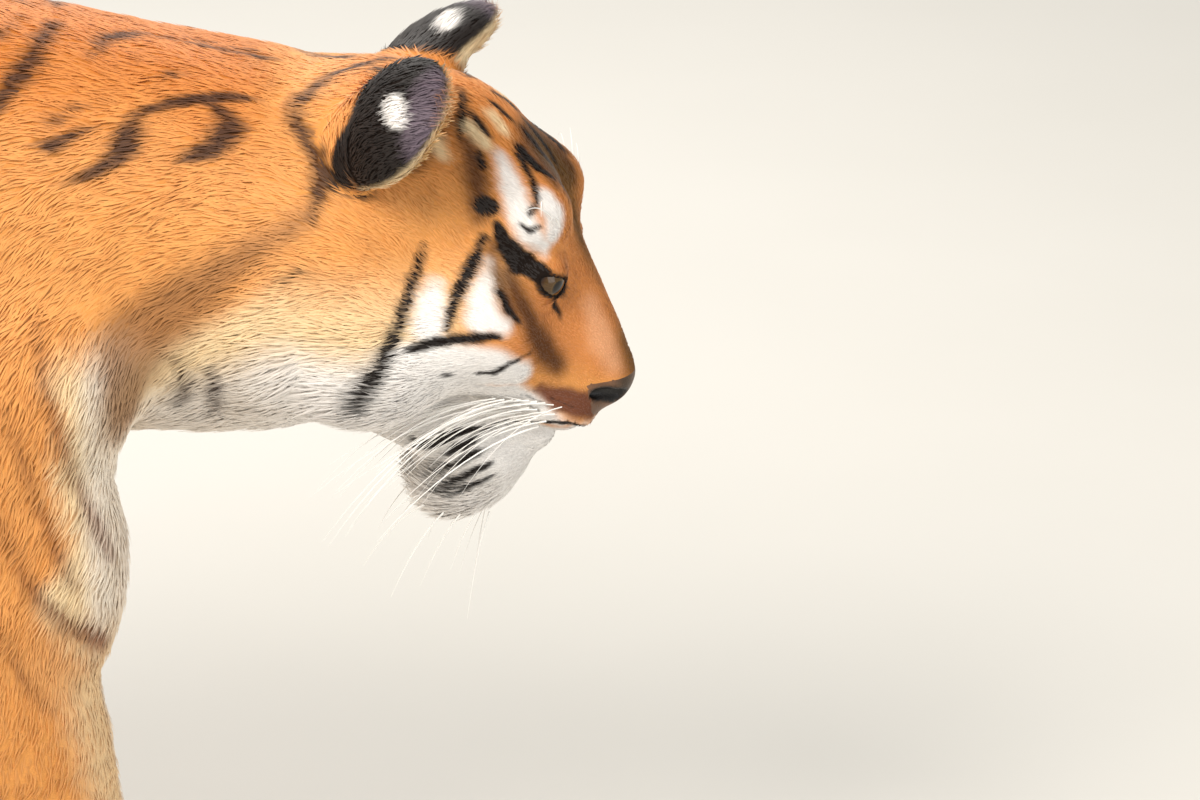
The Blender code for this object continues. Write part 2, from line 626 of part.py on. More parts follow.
def eye_ball(name, side, radius, collection):
    """A ball at the eye's place, its pole along the gaze."""
    shape = bmesh.new()
    bmesh.ops.create_uvsphere(shape, u_segments=14, v_segments=8, radius=radius)
    mesh = bpy.data.meshes.new(name)
    shape.to_mesh(mesh)
    shape.free()
    points = np.empty(len(mesh.vertices) * 3, np.float32)
    mesh.vertices.foreach_get("co", points)
    mirror = np.array([1, side, 1])
    turn = HEAD_TURN @ np.stack([EYE_ACROSS * mirror, np.cross(EYE_GAZE * mirror, EYE_ACROSS * mirror),
                                 EYE_GAZE * mirror], axis=1)
    points = points.reshape(-1, 3) @ turn.T + from_head(EYE_PLACE * mirror)
    mesh.vertices.foreach_set("co", points.astype(np.float32).ravel())
    mesh.update()
    made = bpy.data.objects.new(name, mesh)
    collection.objects.link(made)
    return made


# ---------------------------------------------------------------- the nodes: a point inside each


def body_places():
    """A point inside each node behind the head."""
    places = {
        "neck": (0.555, 0.000, 0.725), "chest": (0.190, 0.000, 0.660), "hindquarters": (-0.260, 0.000, 0.690),
        "tail_base": (-0.765, 0.012, 0.600), "tail_middle": (-0.823, 0.036, 0.370),
        "tail_tip": (-0.940, 0.068, 0.205),
    }
    for word, leg in (("right", FORE_RIGHT), ("left", FORE_LEFT)):
        shoulder, elbow, wrist, paw = (np.array(leg[key]) for key in ("shoulder", "elbow", "wrist", "paw"))
        places[f"foreleg_{word}_upper"] = shoulder + (-0.04, 0, -0.04)
        places[f"foreleg_{word}_lower"] = 0.55 * elbow + 0.45 * wrist
        places[f"foreleg_{word}_paw"] = paw + (0, 0, 0.04)
    for word, leg in (("right", HIND_RIGHT), ("left", HIND_LEFT)):
        hip, knee, hock, heel, paw = (np.array(leg[key]) for key in ("hip", "knee", "hock", "heel", "paw"))
        places[f"hindleg_{word}_thigh"] = 0.6 * hip + 0.4 * knee + (-0.05, 0, 0)
        places[f"hindleg_{word}_shank"] = 0.5 * (knee + hock) + (0, 0, -0.02)
        places[f"hindleg_{word}_foot"] = 0.55 * hock + 0.45 * heel
        places[f"hindleg_{word}_paw"] = paw + (0, 0, 0.04)
    return places


def head_places():
    """A point inside each node that is cut from the head."""
    places = {"head": from_head((-19, 0, 0)), "lower_jaw": from_head((-9, 0, -12)), "nose": from_head((-0.9, 0, -1.8))}
    for side, word in ((-1, "right"), (1, "left")):
        base, frame, _ = ear_frame(side)
        places[f"ear_{word}"] = from_head((base + frame[:, 2] * 7.0) * (1, side, 1))
    return places


def name_pieces(pieces, places):
    """Names each piece after the node whose inner point lies nearest its middle."""
    names = list(places)
    middles = np.array([middle(piece) for piece in pieces])
    gaps = np.sqrt(((middles[:, None] - np.array([places[name] for name in names])[None]) ** 2).sum(-1))
    if len(pieces) != len(names):
        raise ValueError(f"{len(pieces)} pieces for {len(names)} nodes: {middles.round(3).tolist()}")
    for _ in names:
        row, column = np.unravel_index(np.argmin(gaps), gaps.shape)
        pieces[row].name = names[column]
        pieces[row].data.name = names[column]
        gaps[row, :] = np.inf
        gaps[:, column] = np.inf


def main():
    for old in list(bpy.data.objects):
        bpy.data.objects.remove(old)
    scene = bpy.context.scene.collection
    tiger = bpy.data.collections.new("bengal_tiger")
    cutters = bpy.data.collections.new("cutters")
    scene.children.link(tiger)
    scene.children.link(cutters)

    def head_only(p):
        return np.maximum(animal_form(p), HEAD_CUT - SPARE - p[..., 0])

    def body_only(p):
        return np.maximum(animal_form(p), p[..., 0] - HEAD_CUT - SPARE)

    points, faces = surface_net(head_only, HEAD_SPACE[0], HEAD_SPACE[1], HEAD_CELL)
    head = mesh_object("head_whole", settle(points, head_only), faces, tiger)
    points, faces = surface_net(body_only, BODY_SPACE[0], BODY_SPACE[1], BODY_CELL)
    body = mesh_object("body_whole", settle(points, body_only), faces, tiger)
    head, body = thinned(head, HEAD_FACES), thinned(body, BODY_FACES)
    trimmed(head, (HEAD_CUT + CUT_GAP / 2, 0, 0), (-1, 0, 0))
    trimmed(body, (HEAD_CUT - CUT_GAP / 2, 0, 0), (1, 0, 0))
    trimmed(body, (0, 0, 0), (0, 0, -1))
    body = cut(body, body_cutters(cutters))
    head = cut(head, head_cutters(cutters))
    name_pieces(loose_pieces(body, tiger), body_places())
    name_pieces(loose_pieces(head, tiger), head_places())
    for side, word in ((-1, "right"), (1, "left")):
        eye_ball(f"eye_{word}", side, EYE_RADIUS * HEAD_SCALE, tiger)

    coat = node_material("orange_coat", (0.72, 0.30, 0.10), 0.85)
    pale = node_material("pale_coat", (0.80, 0.72, 0.62), 0.85)
    dark = node_material("dark_coat", (0.06, 0.045, 0.04), 0.80)
    leather = node_material("nose_leather", (0.42, 0.16, 0.13), 0.50)
    iris = node_material("amber_eye", (0.55, 0.36, 0.08), 0.08)
    special = {"lower_jaw": pale, "nose": leather, "eye_right": iris, "eye_left": iris,
               "ear_right": dark, "ear_left": dark, "tail_tip": dark}
    for part in tiger.objects:
        part.data.materials.append(special.get(part.name, coat))
        part.data.shade_smooth()
        part.data.transform(Matrix.Translation(ORIGIN_SHIFT))


main()
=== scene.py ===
"""The looks of a life-size Bengal tiger: skin, coat, eyes, nose leather, whiskers and claws.

The skin is one surface worked out with numpy.  A field made of named forms, joined smoothly,
is zero on it; a grid that is fine at the face and coarse at the trunk finds it, and each
point is then moved onto it.  The coat is thin tufts rooted on the skin, which lie along the
body and take the colour that the skin has at their root.
"""

import bmesh
import bpy
import numpy as np
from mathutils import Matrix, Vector


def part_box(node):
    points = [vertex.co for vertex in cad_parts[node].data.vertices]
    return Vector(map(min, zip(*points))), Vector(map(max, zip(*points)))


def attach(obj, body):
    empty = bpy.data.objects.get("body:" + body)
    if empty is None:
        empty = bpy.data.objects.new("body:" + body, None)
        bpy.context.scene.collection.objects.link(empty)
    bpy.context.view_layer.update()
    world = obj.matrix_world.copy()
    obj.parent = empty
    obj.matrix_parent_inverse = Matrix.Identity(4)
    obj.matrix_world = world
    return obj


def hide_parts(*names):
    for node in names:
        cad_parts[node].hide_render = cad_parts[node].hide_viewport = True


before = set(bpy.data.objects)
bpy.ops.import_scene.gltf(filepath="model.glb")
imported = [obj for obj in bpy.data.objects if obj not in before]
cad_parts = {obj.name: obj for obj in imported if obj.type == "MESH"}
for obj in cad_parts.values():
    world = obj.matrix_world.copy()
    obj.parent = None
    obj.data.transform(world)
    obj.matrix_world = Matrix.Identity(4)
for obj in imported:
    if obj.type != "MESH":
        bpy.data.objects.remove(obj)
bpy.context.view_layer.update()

# ---------------------------------------------------------------- driving sizes
CM = 0.01
MM = 0.001
BACK = 0.865                # height of the back's dip
CROUP = 0.895               # height of the croup

NOSE_TIP = np.array([0.890, -0.045, 0.626])  # in the forms' own frame, which SHIFT brings to the CAD's
HEAD_YAW, HEAD_PITCH, HEAD_ROLL = np.radians([7.5, 33.0, -1.0])
HEAD_SCALE = 0.98 * CM      # one unit of the head's own frame

EYE_PLACE = np.array([-11.3, 4.7, 3.9])      # centre of an eyeball, head frame, y outwards
EYE_RADIUS = 1.95
LID_RADIUS = 2.50
EYE_OPENING = (1.85, 0.68, 1.80)             # half sizes across, up and into the lids
EYE_OPENING_AHEAD = 2.35
EYE_TILT = (0.25, 0.0, 1.0)                  # the lids' upright, head frame

# ---------------------------------------------------------------- field helpers


def unit(vector):
    """The vector at length 1."""
    return np.asarray(vector, float) / np.linalg.norm(vector)


def smooth_union(first, second, reach):
    """The lower of two fields, with the crease between them filled over a width of reach."""
    overlap = np.maximum(reach - np.abs(first - second), 0.0) / reach
    return np.minimum(first, second) - overlap * overlap * reach * 0.25


def smooth(low, high, value):
    """0 below low, 1 above high, and an S curve between them; low may be the larger."""
    t = np.clip((value - low) / (high - low), 0.0, 1.0)
    return t * t * (3.0 - 2.0 * t)


def within(p, low, high, form):
    """form(p) inside the box and 1 m outside it, where the form can't reach."""
    inside = np.all((p > np.asarray(low)) & (p < np.asarray(high)), axis=-1)
    d = np.ones(p.shape[:-1])
    d[inside] = form(p[inside])
    return d


def curve_through(x, places, values):
    """Cubic Hermite curve through the stations, level past both ends."""
    places, values = np.asarray(places, float), np.asarray(values, float)
    if places[0] > places[-1]:
        places, values = places[::-1], values[::-1]
    steps = np.diff(places)
    rises = np.diff(values) / steps
    slopes = np.zeros(len(places))
    slopes[1:-1] = (rises[:-1] * steps[1:] + rises[1:] * steps[:-1]) / (steps[:-1] + steps[1:])
    slopes[0], slopes[-1] = rises[0], rises[-1]
    x = np.clip(x, places[0], places[-1])
    i = np.clip(np.searchsorted(places, x) - 1, 0, len(steps) - 1)
    t = (x - places[i]) / steps[i]
    square, cube = t * t, t * t * t
    return ((2 * cube - 3 * square + 1) * values[i] + (cube - 2 * square + t) * steps[i] * slopes[i]
            + (3 * square - 2 * cube) * values[i + 1] + (cube - square) * steps[i] * slopes[i + 1])


def ellipsoid(p, centre, radii, turn=np.eye(3)):
    """Distance-like field of an ellipsoid; turn's columns are its axes."""
    q = (p - np.asarray(centre, float)) @ turn
    radii = np.asarray(radii, float)
    near = np.sqrt(((q / radii) ** 2).sum(-1))
    far = np.sqrt(((q / radii ** 2) ** 2).sum(-1))
    return near * (near - 1.0) / np.maximum(far, 1e-9)


def limb(p, start, end, start_radius, end_radius, flat=(1.0, 1.0, 1.0)):
    """A tapered round bar; flat squeezes it along an axis (below 1 is thinner)."""
    start, end, flat = np.array(start, float), np.array(end, float), np.array(flat, float)
    q, axis = (p - start) / flat, (end - start) / flat
    t = np.clip((q @ axis) / (axis @ axis), 0.0, 1.0)
    gap = np.sqrt(((q - t[..., None] * axis) ** 2).sum(-1))
    return (gap - (start_radius + t * (end_radius - start_radius))) * flat.min()


def barrel(p, stations, power):
    """A body along x with a rounded section at each station: (place, top, bottom, half width)."""
    along, across, up = p[..., 0], p[..., 1], p[..., 2]
    place, *columns = np.array(stations, float).T
    high, low, wide = (curve_through(along, place, column) for column in columns)
    tall = (high - low) / 2
    u, v = np.abs(across) / wide, np.abs(up - (high + low) / 2) / tall
    section = ((u ** power + v ** power) ** (1 / power) - 1.0) * np.minimum(wide, tall)
    ahead = np.maximum(place.min() - along, along - place.max())
    rounding = 0.35 * wide
    both = np.maximum(rounding - np.abs(section - ahead), 0.0) / rounding
    return np.maximum(section, ahead) + both * both * rounding * 0.25


def turn_about(axis, angle):
    """Rotation matrix about axis 0, 1 or 2."""
    c, s = np.cos(angle), np.sin(angle)
    matrix = np.eye(3)
    i, j = (axis + 1) % 3, (axis + 2) % 3
    matrix[i, i], matrix[i, j], matrix[j, i], matrix[j, j] = c, -s, s, c
    return matrix


EYE_GAZE = unit((0.80, 0.56, 0.22))
EYE_ACROSS = unit(np.cross(EYE_TILT, EYE_GAZE))
EYE_FRAME = np.stack([EYE_ACROSS, np.cross(EYE_GAZE, EYE_ACROSS), EYE_GAZE], axis=1)
HEAD_TURN = turn_about(2, -HEAD_YAW) @ turn_about(1, HEAD_PITCH) @ turn_about(0, HEAD_ROLL)


def to_head(p):
    """World points in the head's frame: nose tip at 0, x forward, y left, z up, in units of HEAD_SCALE."""
    return (p - NOSE_TIP) @ HEAD_TURN / HEAD_SCALE


def from_head(q):
    """Head-frame points in the world."""
    return NOSE_TIP + (np.asarray(q, float) * HEAD_SCALE) @ HEAD_TURN.T


def mirrored_head(p):
    """Head-frame points with both halves of the head folded onto one, y outwards."""
    q = to_head(p)
    q[..., 1] = np.abs(q[..., 1])
    return q


# ---------------------------------------------------------------- the animal's forms
# Places are metres in the forms' own frame, and each leg has its own step of the stride.

SKULL = (        # head frame: place, top, bottom, half width
    (-0.8, -0.6, -4.6, 2.4), (-3.0, 1.6, -6.6, 3.9), (-6.0, 3.8, -7.8, 4.7),
    (-9.5, 6.3, -8.6, 5.3), (-12.5, 8.8, -9.2, 6.2), (-15.5, 11.2, -9.6, 7.6),
    (-19.0, 12.8, -10.0, 8.8), (-23.0, 13.2, -10.3, 9.6), (-28.0, 11.6, -10.6, 9.8),
    (-33.0, 9.4, -11.0, 9.4),
)
NECK = (         # world x: top, bottom, half width
    (0.300, 0.930, 0.540, 0.140), (0.420, 0.915, 0.562, 0.152), (0.520, 0.894, 0.566, 0.150),
    (0.620, 0.874, 0.570, 0.145), (0.700, 0.852, 0.590, 0.128),
)
TRUNK = (        # world x: top, bottom, half width
    (0.430, 0.860, 0.510, 0.125), (0.340, 0.915, 0.474, 0.160), (0.220, 0.918, 0.452, 0.186),
    (0.080, 0.885, 0.448, 0.203), (-0.080, BACK, 0.452, 0.206), (-0.230, 0.872, 0.470, 0.194),
    (-0.360, 0.890, 0.510, 0.172), (-0.490, CROUP, 0.580, 0.158), (-0.600, 0.860, 0.650, 0.122),
    (-0.665, 0.815, 0.700, 0.080),
)
TAIL = (         # down the tail: x, y, z, radius
    (-0.600, 0.000, 0.815, 0.052), (-0.690, 0.004, 0.745, 0.040), (-0.765, 0.012, 0.620, 0.034),
    (-0.800, 0.022, 0.490, 0.031), (-0.820, 0.036, 0.360, 0.030), (-0.858, 0.052, 0.250, 0.029),
    (-0.920, 0.066, 0.190, 0.027), (-0.988, 0.074, 0.198, 0.024), (-1.030, 0.076, 0.245, 0.017),
)
FORE_RIGHT = {"shoulder": (0.418, -0.140, 0.640), "elbow": (0.368, -0.158, 0.460),
              "wrist": (0.480, -0.138, 0.155), "paw": (0.528, -0.134, 0.0), "heading": 0.03}
FORE_LEFT = {"shoulder": (0.385, 0.138, 0.640), "elbow": (0.275, 0.158, 0.470),
             "wrist": (0.212, 0.132, 0.158), "paw": (0.250, 0.128, 0.0), "heading": -0.05}
HIND_RIGHT = {"hip": (-0.480, -0.095, 0.735), "knee": (-0.400, -0.150, 0.480),
              "hock": (-0.655, -0.120, 0.265), "heel": (-0.612, -0.118, 0.090),
              "paw": (-0.560, -0.118, 0.0), "heading": 0.06}
HIND_LEFT = {"hip": (-0.465, 0.095, 0.735), "knee": (-0.300, 0.150, 0.490),
             "hock": (-0.440, 0.124, 0.268), "heel": (-0.348, 0.118, 0.088),
             "paw": (-0.290, 0.118, 0.0), "heading": -0.06}

LUMPS = (        # of the head, on both sides: centre, radii, tilt and the reach of the join
    ((-1.8, 0, -1.8), (1.9, 2.8, 2.1), 0, 1.0),  # nose
    ((-5.2, 3.3, -4.8), (4.2, 3.3, 3.1), 0, 1.4),  # lip pad
    ((-9.8, 4.2, -3.4), (4.8, 3.4, 4.2), 0, 2.0),  # muzzle
    ((-15.4, 4.2, 7.0), (4.2, 3.4, 3.4), -0.5, 3.6),  # brow
    ((-14.8, 6.8, -1.8), (7.0, 4.9, 5.8), 0, 3.0),  # cheek
    ((-19.6, 8.8, -7.4), (7.4, 6.2, 8.4), 0.30, 3.0),  # ruff, front and rear
    ((-26.0, 8.6, -6.0), (7.8, 6.4, 10.0), 0, 3.5),
)


def head_form(p):
    """The head and its ruff without the ears, in world metres."""
    q = mirrored_head(p)
    d = barrel(q, SKULL, 2.1)
    d = smooth_union(d, limb(q, (-2.8, 0, -1.0), (-12.0, 0, 3.9), 2.3, 3.3), 1.6)
    for centre, radii, tilt, reach in LUMPS:
        d = smooth_union(d, ellipsoid(q, centre, radii, turn_about(1, tilt)), reach)
    d = smooth_union(d, jaw_form(q), 1.4)
    return smooth_union(d, ellipsoid(q, EYE_PLACE, (LID_RADIUS,) * 3), 0.9) * HEAD_SCALE


def jaw_form(q):
    """Lower lip, chin with its beard, and the two jaw branches, head frame."""
    d = ellipsoid(q, (-5.6, 0, -8.8), (3.9, 3.8, 3.0))
    d = smooth_union(d, ellipsoid(q, (-7.2, 0, -13.8), (4.4, 4.1, 6.2)), 1.8)
    return smooth_union(d, limb(q, (-8.0, 1.8, -10.8), (-19.0, 6.4, -9.8), 3.9, 5.2), 2.6)


EAR_BASE = np.array([-28.6, 7.6, 6.2])
EAR_TIP = np.array([-25.0, 13.2, 14.8])
EAR_SHIFT = {-1: (-0.6, 0.0, -0.4), 1: (-0.2, 0.0, -1.2)}  # by side: the left ear is held further on
EAR_OPENING = {-1: (0.75, -0.55, -0.35), 1: (0.93, 0.05, -0.36)}
EAR_SIZE = (5.5, 2.6, 6.0)  # half width, depth and length


def ear_frame(side):
    """Base point, axes (across, opening, along) and length of one ear, head frame, y outwards."""
    length, along = np.linalg.norm(EAR_TIP - EAR_BASE), unit(EAR_TIP - EAR_BASE)
    out = np.array(EAR_OPENING[side])
    out = unit(out - (out @ along) * along)
    return EAR_BASE + EAR_SHIFT[side], np.stack([np.cross(along, out), out, along], axis=1), length


def ear_form(q, side):
    """A rounded ear: a shallow cup whose hollow faces its opening direction, head frame."""
    base, axes, length = ear_frame(side)
    centre = base + axes[:, 2] * (length - EAR_SIZE[2] + 0.2)
    shell = ellipsoid(q * (1, side, 1), centre, EAR_SIZE, axes)
    hollow = ellipsoid(q * (1, side, 1), centre + axes @ (0, 2.3, 0.5), (4.2, 2.4, 5.0), axes)
    return -smooth_union(-shell, hollow, 0.9)


def chain(p, points, radii, flat=(1.0, 1.0, 1.0), pieces=4):
    """A round bar along a smooth path through the points, its radius easing between them."""
    points = np.asarray(points, float)
    knots = np.arange(len(points), dtype=float)
    fine = np.linspace(0, knots[-1], pieces * (len(points) - 1) + 1)
    path = np.stack([curve_through(fine, knots, points[:, i]) for i in range(3)], 1)
    size = curve_through(fine, knots, radii)
    d = limb(p, path[0], path[1], size[0], size[1], flat)
    for i in range(1, len(path) - 1):
        d = np.minimum(d, limb(p, path[i], path[i + 1], size[i], size[i + 1], flat))
    return d


def fore_leg(p, leg, side):
    """Upper arm, forearm and paw of a foreleg."""
    shoulder, elbow, wrist, paw = (np.array(leg[name]) for name in ("shoulder", "elbow", "wrist", "paw"))
    down = wrist - elbow
    d = chain(p, (elbow + (0.004, 0, 0.02), elbow + 0.20 * down + (0.012, 0, 0), elbow + 0.62 * down, wrist,
                  paw + (-0.026, 0, 0.075)), (0.084, 0.082, 0.063, 0.055, 0.054), (1, 0.86, 1))
    d = smooth_union(d, ellipsoid(p, elbow + (-0.052, 0, 0.004), (0.034, 0.034, 0.045)), 0.05)
    d = smooth_union(d, limb(p, shoulder, elbow + (0.025, 0, 0.05), 0.090, 0.078, (1, 0.80, 1)), 0.03)
    lobe = elbow + (0.060, side * -0.004, 0.050)
    d = smooth_union(d, ellipsoid(p, lobe, (0.080, 0.062, 0.124), turn_about(1, 0.10)), 0.014)
    triceps = shoulder + (-0.095, side * 0.006, -0.065)
    d = smooth_union(d, ellipsoid(p, triceps, (0.095, 0.056, 0.118)), 0.05)
    return smooth_union(d, paw_form(p, paw, leg["heading"], 1.0), 0.022)


TOES = (-0.049, 0.022), (-0.0175, 0.048), (0.0175, 0.048), (0.049, 0.022)  # sideways, ahead


def paw_form(p, paw, heading, size):
    """Four toes ahead of a heel pad, standing on the floor."""
    q = (p - paw) @ turn_about(2, heading)
    d = ellipsoid(q, (-0.022 * size, 0, 0.037), (0.068 * size, 0.061 * size, 0.046))
    for spread, ahead in TOES:
        toe = np.array([ahead, spread, 0.030]) * (size, size, 1.0)
        d = smooth_union(d, ellipsoid(q, toe, (0.043 * size, 0.0225 * size, 0.034)), 0.010)
    return d


def hind_leg(p, leg, side):
    """Thigh, shank, long foot and paw of a hind leg."""
    hip, knee, hock, heel, paw = (np.array(leg[name]) for name in ("hip", "knee", "hock", "heel", "paw"))
    shank = hock - knee
    d = limb(p, hip, knee, 0.135, 0.084, (1, 0.60, 1))
    ham = hip + (-0.110, side * 0.004, -0.030)
    d = smooth_union(d, chain(p, (ham, 0.62 * ham + 0.38 * hock, knee + 0.72 * shank + (-0.012, 0, 0.03)),
                              (0.085, 0.078, 0.044), (1, 0.66, 1)), 0.06)
    d = smooth_union(d, chain(p, (knee, knee + 0.42 * shank + (-0.008, 0, 0.012), knee + 0.78 * shank, hock),
                              (0.092, 0.082, 0.055, 0.048), (1, 0.76, 1)), 0.04)
    foot = chain(p, (hock + (-0.006, 0, 0.006), 0.5 * (hock + heel), heel, paw + (-0.022, 0, 0.062)),
                 (0.050, 0.045, 0.044, 0.049), (1, 0.92, 1))
    d = smooth_union(d, foot, 0.025)
    return smooth_union(d, paw_form(p, paw, leg["heading"], 0.93), 0.022)


def tail_form(p):
    """A round tail along a smooth path, thinner towards its tip."""
    return chain(p, np.array(TAIL)[:, :3], np.array(TAIL)[:, 3])


def torso_form(p):
    """Trunk, neck, breast, shoulder blades and haunches."""
    d = smooth_union(barrel(p, TRUNK, 2.2), barrel(p, NECK, 2.1), 0.04)
    d = smooth_union(d, ellipsoid(p, (0.400, 0, 0.560), (0.090, 0.110, 0.120)), 0.03)
    for side, ahead in ((-1, 0.0), (1, -0.03)):
        blade = limb(p, (0.285 + ahead, side * 0.064, 0.882), (0.400 + ahead, side * 0.132, 0.660),
                     0.056, 0.094, (1, 0.62, 1))
        d = smooth_union(d, blade, 0.05)
        d = smooth_union(d, ellipsoid(p, (-0.44, side * 0.095, 0.775), (0.140, 0.072, 0.105)), 0.05)
    return d


def leg_box(leg):
    """Corners of a box that holds one leg with room to spare."""
    joints = np.array([value for value in leg.values() if isinstance(value, tuple)])
    return joints.min(0) - 0.26, joints.max(0) + 0.26


HEAD_BOX = (0.50, -0.40, 0.40), (1.10, 0.40, 1.20)
TAIL_BOX = (-1.30, -0.30, -0.10), (-0.50, 0.30, 1.00)
LEGS = ((FORE_RIGHT, -1, fore_leg, 0.035), (FORE_LEFT, 1, fore_leg, 0.035),
        (HIND_RIGHT, -1, hind_leg, 0.045), (HIND_LEFT, 1, hind_leg, 0.045))


def body_form(p):
    """Everything behind the head."""
    d = torso_form(p)
    for leg, side, shape, reach in LEGS:
        d = smooth_union(d, within(p, *leg_box(leg), lambda near: shape(near, leg, side)), reach)
    return smooth_union(d, within(p, *TAIL_BOX, tail_form), 0.05)


def ears_form(p):
    """Both ears, in world metres."""
    q = to_head(p)
    return np.minimum(ear_form(q, -1), ear_form(q, 1)) * HEAD_SCALE


def animal_form(p):
    """The whole coat's outer form: head, ears and body in one field."""
    d = smooth_union(body_form(p), within(p, *HEAD_BOX, head_form), 0.035)
    return smooth_union(d, within(p, *HEAD_BOX, ears_form), 0.018)


# ---------------------------------------------------------------- the skin's field


def bump_at(q, centre, radii):
    """1 at the centre, falling off as a bell with these radii."""
    return np.exp(-(((q - np.asarray(centre)) / np.asarray(radii)) ** 2).sum(-1))


EAR_COAT = 0.0022           # depth of the ears' short coat
SOLE_HEIGHT = 0.0010        # of the flat soles of the skin over the floor


def coat_depth(p):
    """How deep the skin lies under the coat's outer form, in metres: thin on the face, deep in the ruff."""
    q = mirrored_head(p)
    low = curve_through(p[..., 2], (0.0, 0.03, 0.10, 0.40, 0.50), (0.0, 0.002, 0.004, 0.006, 0.009))
    face = curve_through(q[..., 0], (-40, -26, -18, -11, -5, 0), (0.009, 0.008, 0.006, 0.0035, 0.0025, 0.0015))
    head = smooth(0.58, 0.66, p[..., 0]) * smooth(0.46, 0.50, p[..., 2])
    depth = low + (face - low) * head
    ruff = bump_at(q, (-22, 11.0, -11), (8.0, 6.0, 7.0))
    beard = bump_at(q, (-8.0, 0.0, -18), (5.0, 4.5, 3.0))
    belly = bump_at(p, (-0.05, 0.0, 0.44), (0.40, 0.12, 0.06))
    depth = depth + head * (0.016 * ruff + 0.010 * beard) + 0.008 * belly
    ear = within(p, *HEAD_BOX, ears_form)
    return EAR_COAT + (depth - EAR_COAT) * smooth(0.000, 0.012, ear)


# Hollows of the face: rows of stations in the head's frame (forward, outward, up, half width).
NOSTRIL = ((-0.4, 1.7, -1.9, 0.62), (-1.6, 2.9, -2, 0.5), (-3.6, 3.9, -3, 0.16))
PHILTRUM = ((-0.3, 0, -3.2, 0.16), (-1.2, 0, -4.8, 0.16))
MOUTH = ((-1.2, 0, -4.9, 0.2), (-1.6, 3.4, -4.7, 0.2), (-2.9, 5.6, -4.8, 0.22), (-4.4, 6.2, -5.6, 0.22),
         (-5.8, 5.7, -7, 0.22), (-7, 5.5, -8.2, 0.22), (-8.2, 6, -9.2, 0.24), (-9.9, 7.2, -10.5, 0.24),
         (-11.4, 7.4, -12.3, 0.16))


def lip_line(q):
    """Height of the line between the lips, which depends on how far forward it is."""
    ahead, _, up, _ = np.array(MOUTH[1:]).T
    return curve_through(-q[..., 0], -ahead, up)


def chin_recess(q):
    """How far the lower lip and chin lie inside the upper lips, in head units."""
    below = smooth(0.3, -0.5, q[..., 2] - lip_line(q)) * smooth(-12.5, -9.0, q[..., 2])
    return 0.75 * below * smooth(-10.5, -7.0, q[..., 0])


def groove(p, stations):
    """Distance field of straight tapered bars from station to station."""
    return np.minimum.reduce([limb(p, a[:3], b[:3], a[3], b[3]) for a, b in zip(stations, stations[1:])])


def eye_hollow(q):
    """The gap between the lids, head frame, y outwards."""
    return ellipsoid(q, EYE_PLACE + EYE_GAZE * EYE_OPENING_AHEAD, EYE_OPENING, EYE_FRAME)


def face_hollows(p):
    """Eye gaps, nostrils, the groove under the nose and the line of the mouth, as one field to cut out."""
    q = mirrored_head(p)
    return np.minimum.reduce([eye_hollow(q)] + [groove(q, way) for way in (NOSTRIL, PHILTRUM, MOUTH)]) * HEAD_SCALE


# Folds of the loose skin in front of the right shoulder, in the world's own frame with y outwards: the same
# stations in metres.  The first fold parts the chest from the foreleg.
FOLDS = (
    ((0.413, 0.22, 0.568, 0.003), (0.427, 0.221, 0.532, 0.004), (0.443, 0.218, 0.504, 0.005),
     (0.46, 0.21, 0.483, 0.006), (0.474, 0.199, 0.47, 0.007), (0.488, 0.178, 0.452, 0.007)),
    ((0.44, 0.178, 0.736, 0.001), (0.448, 0.202, 0.683, 0.003), (0.459, 0.205, 0.635, 0.004),
     (0.474, 0.196, 0.591, 0.004), (0.487, 0.191, 0.557, 0.005), (0.497, 0.185, 0.531, 0.003)),
    ((0.416, 0.211, 0.662, 0.001), (0.428, 0.213, 0.623, 0.002), (0.441, 0.212, 0.585, 0.003),
     (0.456, 0.211, 0.541, 0.004), (0.468, 0.208, 0.513, 0.002)),
    ((0.411, 0.227, 0.483, 0.001), (0.429, 0.22, 0.438, 0.002), (0.45, 0.21, 0.413, 0.001)),
)
FOLDS_BOX = (0.36, 0.15, 0.42), (0.54, 0.26, 0.76)


def folds_form(p):
    """The folds' bottoms as thin bars, in the world with y outwards."""
    return np.minimum.reduce([groove(p, fold) for fold in FOLDS])


def skin_form(p):
    """The skin: the coat's outer form less the coat's depth, with the face's hollows, flat on the floor."""
    d = animal_form(p) + coat_depth(p) + chin_recess(mirrored_head(p)) * HEAD_SCALE
    hollows = within(p, *HEAD_BOX, face_hollows)
    d = -smooth_union(-d, hollows, 0.0025)
    d = -smooth_union(-d, within(p * (1, -1, 1), *FOLDS_BOX, folds_form), 0.009)
    return np.maximum(d, SOLE_HEIGHT - p[..., 2])


# ---------------------------------------------------------------- from the field to a mesh
COARSE = 4                  # cells along a block's side in the first, rough pass
BATCH = 300000              # cells worked out at a time, which bounds the memory
STEPS = (0.36, 0.50, 0.60, 0.70, 0.80), (0.0100, 0.0072, 0.0050, 0.0035, 0.0028)  # x, and the grid's step there
GRID_CENTRE = np.array([0.0, -0.01, 0.70])


def grid_step(x):
    """Side of a grid cell at x."""
    return curve_through(x, *STEPS)


def grid_stations(front, back):
    """The grid's x stations, each one step from the last."""
    stations = [front]
    while stations[-1] > back or len(stations) % COARSE:
        stations.append(stations[-1] - float(grid_step(stations[-1])))
    return np.array(stations[::-1])


STATIONS = grid_stations(0.925, -1.075)
COUNTS = np.array([len(STATIONS), 160, 220])
MIDDLE = np.array([0, 80, 140])              # the grid's own centre, in cells


